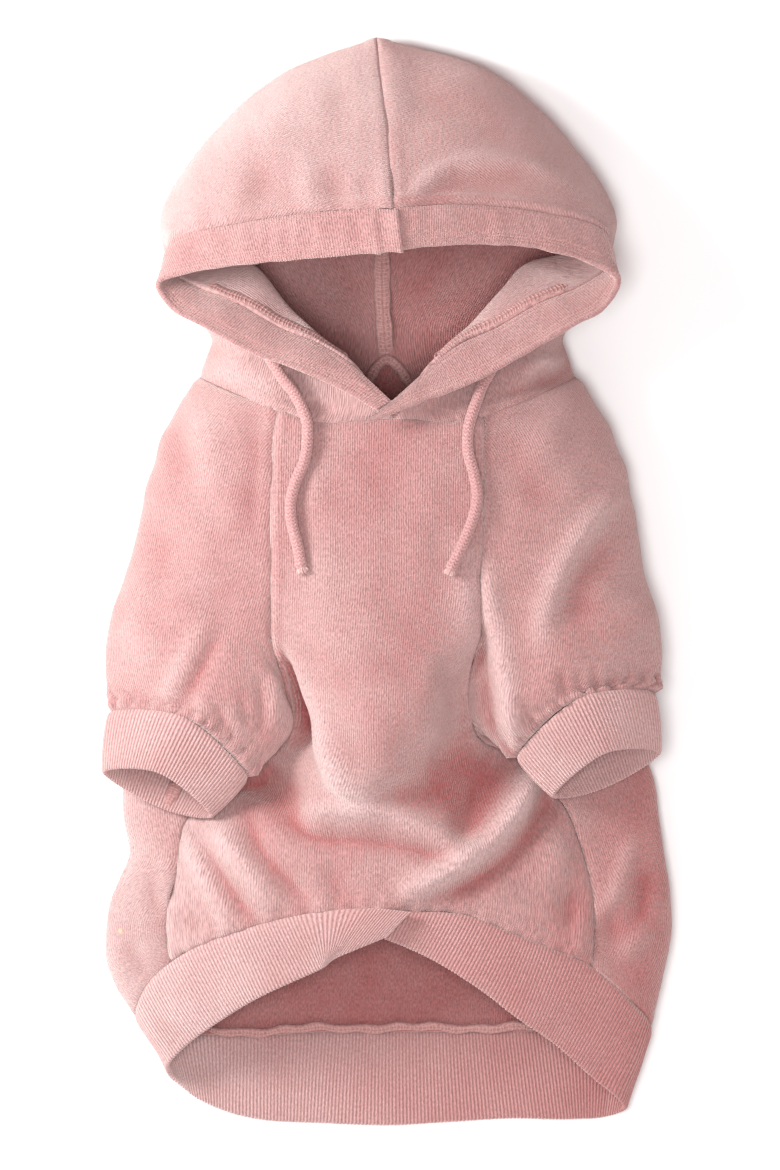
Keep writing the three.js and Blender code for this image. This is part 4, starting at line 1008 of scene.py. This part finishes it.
def stitches(name, starts, ends, radius):
    """Short threads from each start to its end, as one mesh."""
    mesh = bpy.data.meshes.new(name)
    whole = bmesh.new()
    pairs = list(zip(starts, ends))
    for first in range(0, len(pairs), 40):
        bm = bmesh.new()
        for start, end in pairs[first:first + 40]:
            a, b = Vector(start) * MM, Vector(end) * MM
            way = b - a
            turn = way.to_track_quat("Z", "Y").to_matrix().to_4x4()
            size = Matrix.Diagonal((radius * MM, radius * MM, way.length / 2, 1))
            bmesh.ops.create_uvsphere(bm, u_segments=5, v_segments=4, radius=1,
                                      matrix=Matrix.Translation((a + b) / 2) @ turn @ size)
        bm.to_mesh(mesh)
        bm.free()
        whole.from_mesh(mesh)
    whole.to_mesh(mesh)
    whole.free()
    mesh.polygons.foreach_set("use_smooth", np.ones(len(mesh.polygons), dtype=bool))
    piece = bpy.data.objects.new(name, mesh)
    bpy.context.scene.collection.objects.link(piece)
    return piece


def drawcord(name, route, node):
    """A knitted round cord: a tube with slanting stitches and a soft cut end."""
    route = np.array(route, float)
    spine = catmull(route, even_steps(route, 0.4))
    tangent = np.gradient(spine, axis=0)
    tangent /= np.linalg.norm(tangent, axis=-1, keepdims=True)
    level = np.cross(tangent, (0.0, 0.0, 1.0))
    level /= np.linalg.norm(level, axis=-1, keepdims=True)
    upward = np.cross(level, tangent)
    reach = reach_along(spine)
    angles = np.linspace(0, math.tau, 41)
    far = reach[-1] - reach
    zigzag = np.abs((angles[None] / math.tau * 8) % 1 - 0.5) * 2
    knit = 0.30 * np.abs(np.sin((reach[:, None] + zigzag * 1.1) * math.pi / 1.9)) ** 0.7 + 0.16 * zigzag
    radius = (CORD_DIAMETER / 2 - 0.32 + knit) * (1 - 0.25 * bump(far, 0.6))[:, None]
    radius = radius * (1 + 0.10 * bump(far - 2.0, 1.6))[:, None]
    ring = np.cos(angles)[None, :, None] * level[:, None] + np.sin(angles)[None, :, None] * upward[:, None]
    points = spine[:, None] + ring * radius[..., None]
    cloth = np.stack([np.repeat(reach[:, None], 41, axis=1) + zigzag * 1.1,
                      np.repeat(angles[None] * CORD_DIAMETER / 2, len(spine), axis=0)], axis=-1) * MM
    piece = grid_piece(name, points, cloth, 1e-6)
    finish_piece(piece, "cord", "cord_knit", node)
    frays = stitches(f"{name}_frays", *frayed(spine[-1], tangent[-1], level[-1], upward[-1]), FRAY_RADIUS)
    finish_piece(frays, "fray", "cord_knit")


def frayed(tip, ahead, level, upward):
    """Loose thread ends that stand out of the cut end of a cord."""
    draw = random.Random(4)
    starts, ends = [], []
    for _ in range(80):
        turn = draw.uniform(0, math.tau)
        out = draw.uniform(0.2, 2.5)
        ray = level * math.cos(turn) + upward * max(math.sin(turn), -0.7)
        start = tip + ray * out * 0.85 - ahead * 0.8
        starts.append(start)
        ends.append(start + ahead * draw.uniform(1.6, 4.0) + ray * draw.uniform(0.2, 1.9))
    return starts, ends


# Materials
def linear(hex_colour):
    """A linear colour from an sRGB hex value."""
    channels = [int(hex_colour[k:k + 2], 16) / 255 for k in (1, 3, 5)]
    return tuple(c / 12.92 if c <= 0.04045 else ((c + 0.055) / 1.055) ** 2.4 for c in channels) + (1.0,)


def node(tree, kind, links=(), **settings):
    """Adds a node, sets its properties and sockets, and links its inputs."""
    made = tree.nodes.new(kind)
    for key, value in settings.items():
        if hasattr(made, key):
            setattr(made, key, value)
        else:
            made.inputs[key.replace("_", " ")].default_value = value
    for socket, source in dict(links).items():
        tree.links.new(source, made.inputs[socket])
    return made


def cloth_material(name, colours, groove, pitch, wale_share, grain, relief, sheen, rough, spot=None):
    """A knit: wales along the cloth, a fine grain, and patches where the nap lies another way.

    The colours are painted light: painted shade for the hollows of the folds, the colour of level cloth,
    and a painted highlight for the ridges; the groove colour is painted shade in the furrows of the wales,
    where the bump sinks.
    """
    material = bpy.data.materials.new(name)
    material.use_nodes = True
    tree = material.node_tree
    tree.nodes.clear()
    uv = node(tree, "ShaderNodeUVMap", uv_map="Cloth").outputs["UV"]
    patches = node(tree, "ShaderNodeTexNoise", {"Vector": uv}, Scale=34.0, Detail=6.0, Roughness=0.65)
    patchy = node(tree, "ShaderNodeMapRange", {"Value": patches.outputs["Fac"]},
                  From_Min=0.36, From_Max=0.64)
    lie = node(tree, "ShaderNodeMapping", {"Vector": uv}, Scale=(1.0, 0.5, 1.0))
    nap = node(tree, "ShaderNodeTexNoise", {"Vector": lie.outputs[0]}, Scale=1 / grain, Detail=4.0,
               Roughness=0.6)
    wales = node(tree, "ShaderNodeTexWave", {"Vector": uv}, Scale=math.tau / 20 / pitch, Distortion=0.5,
                 Detail=1.0, Detail_Scale=2.0, bands_direction="X")
    lie_share = node(tree, "ShaderNodeMapRange", {"Value": patchy.outputs[0]}, To_Min=-0.09, To_Max=0.09)
    # Painted light and shade from the mesh, shifted a little by the random patches of nap, picks the colour
    # on the ramp
    depth = node(tree, "ShaderNodeAttribute", attribute_name="Depth")
    pile = node(tree, "ShaderNodeMath", {0: depth.outputs["Fac"], 1: lie_share.outputs[0]}, operation="ADD")
    mix = node(tree, "ShaderNodeValToRGB", {"Fac": pile.outputs[0]})
    mix.color_ramp.elements.new(0.5)
    for stop, place, colour in zip(mix.color_ramp.elements, (0.0, 0.5, 1.0), colours):
        stop.position = place
        stop.color = linear(colour)
    # Painted shade: the groove colour darkens the furrows of the wales, where the bump below also sinks
    furrow = node(tree, "ShaderNodeMapRange", {"Value": wales.outputs["Fac"]}, From_Min=0.0, From_Max=0.7,
                  To_Min=wale_share, To_Max=0.0)
    lined = node(tree, "ShaderNodeMixRGB", {"Fac": furrow.outputs[0], "Color1": mix.outputs[0]},
                 Color2=linear(groove))
    spread = node(tree, "ShaderNodeMapRange", {"Value": nap.outputs["Fac"]}, From_Min=0.3, From_Max=0.7,
                  To_Min=0.62, To_Max=1.22)
    tone = node(tree, "ShaderNodeMixRGB", {"Color1": lined.outputs[0], "Color2": spread.outputs[0]},
                blend_type="MULTIPLY", Fac=1.0)
    colour_out = tone.outputs[0]
    if spot:
        place = node(tree, "ShaderNodeTexCoord").outputs["Object"]
        away = node(tree, "ShaderNodeVectorMath", {0: place}, operation="DISTANCE")
        away.inputs[1].default_value = spot
        faint = node(tree, "ShaderNodeMapRange", {"Value": away.outputs["Value"]}, From_Min=0.0007,
                     From_Max=0.0018, To_Min=0.6, To_Max=0.0)
        stained = node(tree, "ShaderNodeMixRGB", {"Fac": faint.outputs[0], "Color1": colour_out},
                       Color2=linear("#F0DC8A"))
        colour_out = stained.outputs[0]
    knit = node(tree, "ShaderNodeMath", {0: wales.outputs["Fac"]}, operation="MULTIPLY")
    knit.inputs[1].default_value = wale_share * 1.6
    deep = node(tree, "ShaderNodeMath", {0: nap.outputs["Fac"], 1: knit.outputs[0]}, operation="ADD")
    lump = node(tree, "ShaderNodeBump", {"Height": deep.outputs[0]}, Strength=1.0, Distance=relief)
    shader = node(tree, "ShaderNodeBsdfPrincipled", {"Base Color": colour_out, "Normal": lump.outputs[0]},
                  Roughness=rough, IOR=1.5, Specular_IOR_Level=0.15, Sheen_Weight=sheen,
                  Sheen_Roughness=0.5, Sheen_Tint=linear("#FFE9E4"))
    node(tree, "ShaderNodeOutputMaterial", {"Surface": shader.outputs[0]})
    return material


def plain_material(name, colour, rough, sheen):
    """One colour all over, for the table and for threads too thin to show their twist."""
    material = bpy.data.materials.new(name)
    material.use_nodes = True
    shader = material.node_tree.nodes["Principled BSDF"]
    shader.inputs["Base Color"].default_value = linear(colour)
    shader.inputs["Roughness"].default_value = rough
    shader.inputs["Sheen Weight"].default_value = sheen
    return material


# Place of the small yellow spot at the left hip
STAIN = (-0.134, -0.176, 0.022)
materials = {
    # Sheared pile: a soft bloom at grazing angles, a fine grain, faint wales of the knit ground with
    # painted shade in their furrows, and patches where the nap lies another way; the wales are coarser than
    # real, or they would blur away
    # The three colours: painted shade in the hollows of the folds, level cloth, painted highlight on the
    # ridges
    "velour": cloth_material("cotton velour, sheared pile", ("#AB5D5C", "#BA8A88", "#D0AEAC"), "#95575A",
                             0.00118, 0.15, 0.0009, 0.0011, 1.0, 0.95, STAIN),
    # Rib knit: a crisp stripe of painted shade in every groove between the ribs of the mesh, and paler
    # crests; its three colours run from painted shade through level rib to a painted highlight
    "rib": cloth_material("cotton rib knit", ("#AE6B69", "#BF8D8B", "#D0AEAC"), "#8E5B59", RIB_PITCH * MM,
                          0.5, 0.0007, 0.0003, 1.0, 0.9),
    # Knitted tube: slanting stitches, with painted shade in the furrows between them, that make the cord
    # read as knit; coarser than real for the same reason
    "cord": cloth_material("knitted cotton cord", ("#B88583", "#C29392", "#CDA9A8"), "#98625F", 0.0019,
                           0.5, 0.0007, 0.0002, 0.6, 0.9),
    # Bound raw edges: a rougher line inside the hood, the waist and the cuffs, with painted shade in the
    # furrows of its wales
    "overlock": cloth_material("overlocked cloth edge", ("#AC7573", "#BC8A87", "#C8A09D"), "#94625F",
                               0.0021, 0.3, 0.0008, 0.0004, 0.4, 0.95),
    # Sewing thread: even small stitches that catch a little light
    "thread": plain_material("polyester sewing thread", "#C49490", 0.6, 0.3),
    # Cut ends of the cords: pale loose fibres at the tips
    "fray": plain_material("loose cotton cord ends, unspun", "#DCB4B0", 0.6, 0.3),
}

WORLD_LIGHT = 0.46
WORLD_COLOUR = (1.0, 0.84, 0.84, 1)
LAMP_COLOUR = (0.95, 1.0, 1.0)
# Soft cool window light from the upper left, close enough to fall off across the garment;
# the world's light is warm, as light that bounces between pink cloth is
LIGHTS = (
    ("key", (-0.66, 0.24, 0.5), 0.3, 9.5),
    ("top", (-0.05, -0.12, 1.6), 0.5, 16.5),
    ("fill", (0.2, -1.2, 0.7), 0.8, 4),
)


def set_up_stage():
    """A white table, a faint warm world and the lamps; the Standard view keeps the ground white."""
    mesh = bpy.data.meshes.new("table")
    bm = bmesh.new()
    bmesh.ops.create_grid(bm, x_segments=1, y_segments=1, size=4)
    bm.to_mesh(mesh)
    bm.free()
    table = bpy.data.objects.new("table", mesh)
    table.location.z = -0.0004
    bpy.context.scene.collection.objects.link(table)
    mesh.materials.append(plain_material("matt white paper", "#FBFAFA", 0.9, 0.0))

    world = bpy.data.worlds.new("studio")
    world.use_nodes = True
    world.node_tree.nodes["Background"].inputs["Color"].default_value = WORLD_COLOUR
    world.node_tree.nodes["Background"].inputs["Strength"].default_value = WORLD_LIGHT
    bpy.context.scene.world = world
    bpy.context.scene.view_settings.view_transform = "Standard"
    for name, place, size, power in LIGHTS:
        lamp = bpy.data.lights.new(name, "AREA")
        lamp.size = size
        lamp.energy = power
        lamp.color = LAMP_COLOUR
        holder = bpy.data.objects.new(name, lamp)
        holder.location = place
        holder.rotation_euler = (-Vector(place)).to_track_quat("-Z", "Y").to_euler()
        bpy.context.scene.collection.objects.link(holder)


# The photograph's frame is 390 by 585 millimetres on the table
FRAME_HEIGHT = 0.585
CAMERA_DISTANCE = 5.0
SENSOR = 36


def set_up_camera():
    """Straight down from far off, as the photograph is taken."""
    camera = bpy.data.cameras.new("camera")
    camera.sensor_width = SENSOR
    camera.lens = SENSOR * CAMERA_DISTANCE / FRAME_HEIGHT
    camera.clip_end = 20
    holder = bpy.data.objects.new("camera", camera)
    holder.location = (0.001, -0.0025, CAMERA_DISTANCE + 0.04)
    bpy.context.scene.collection.objects.link(holder)
    bpy.context.scene.camera = holder


set_up_camera()
drawcord("drawcord_left_knit", LEFT_CORD, "drawcord_left")
drawcord("drawcord_right_knit", RIGHT_CORD, "drawcord_right")
set_up_stage()
chest()
back()
waistband()
nape()
for side, word in SIDES:
    hood(side, word)
    hem(side, word)
    sleeve(side, word)
    cuff(side, word)
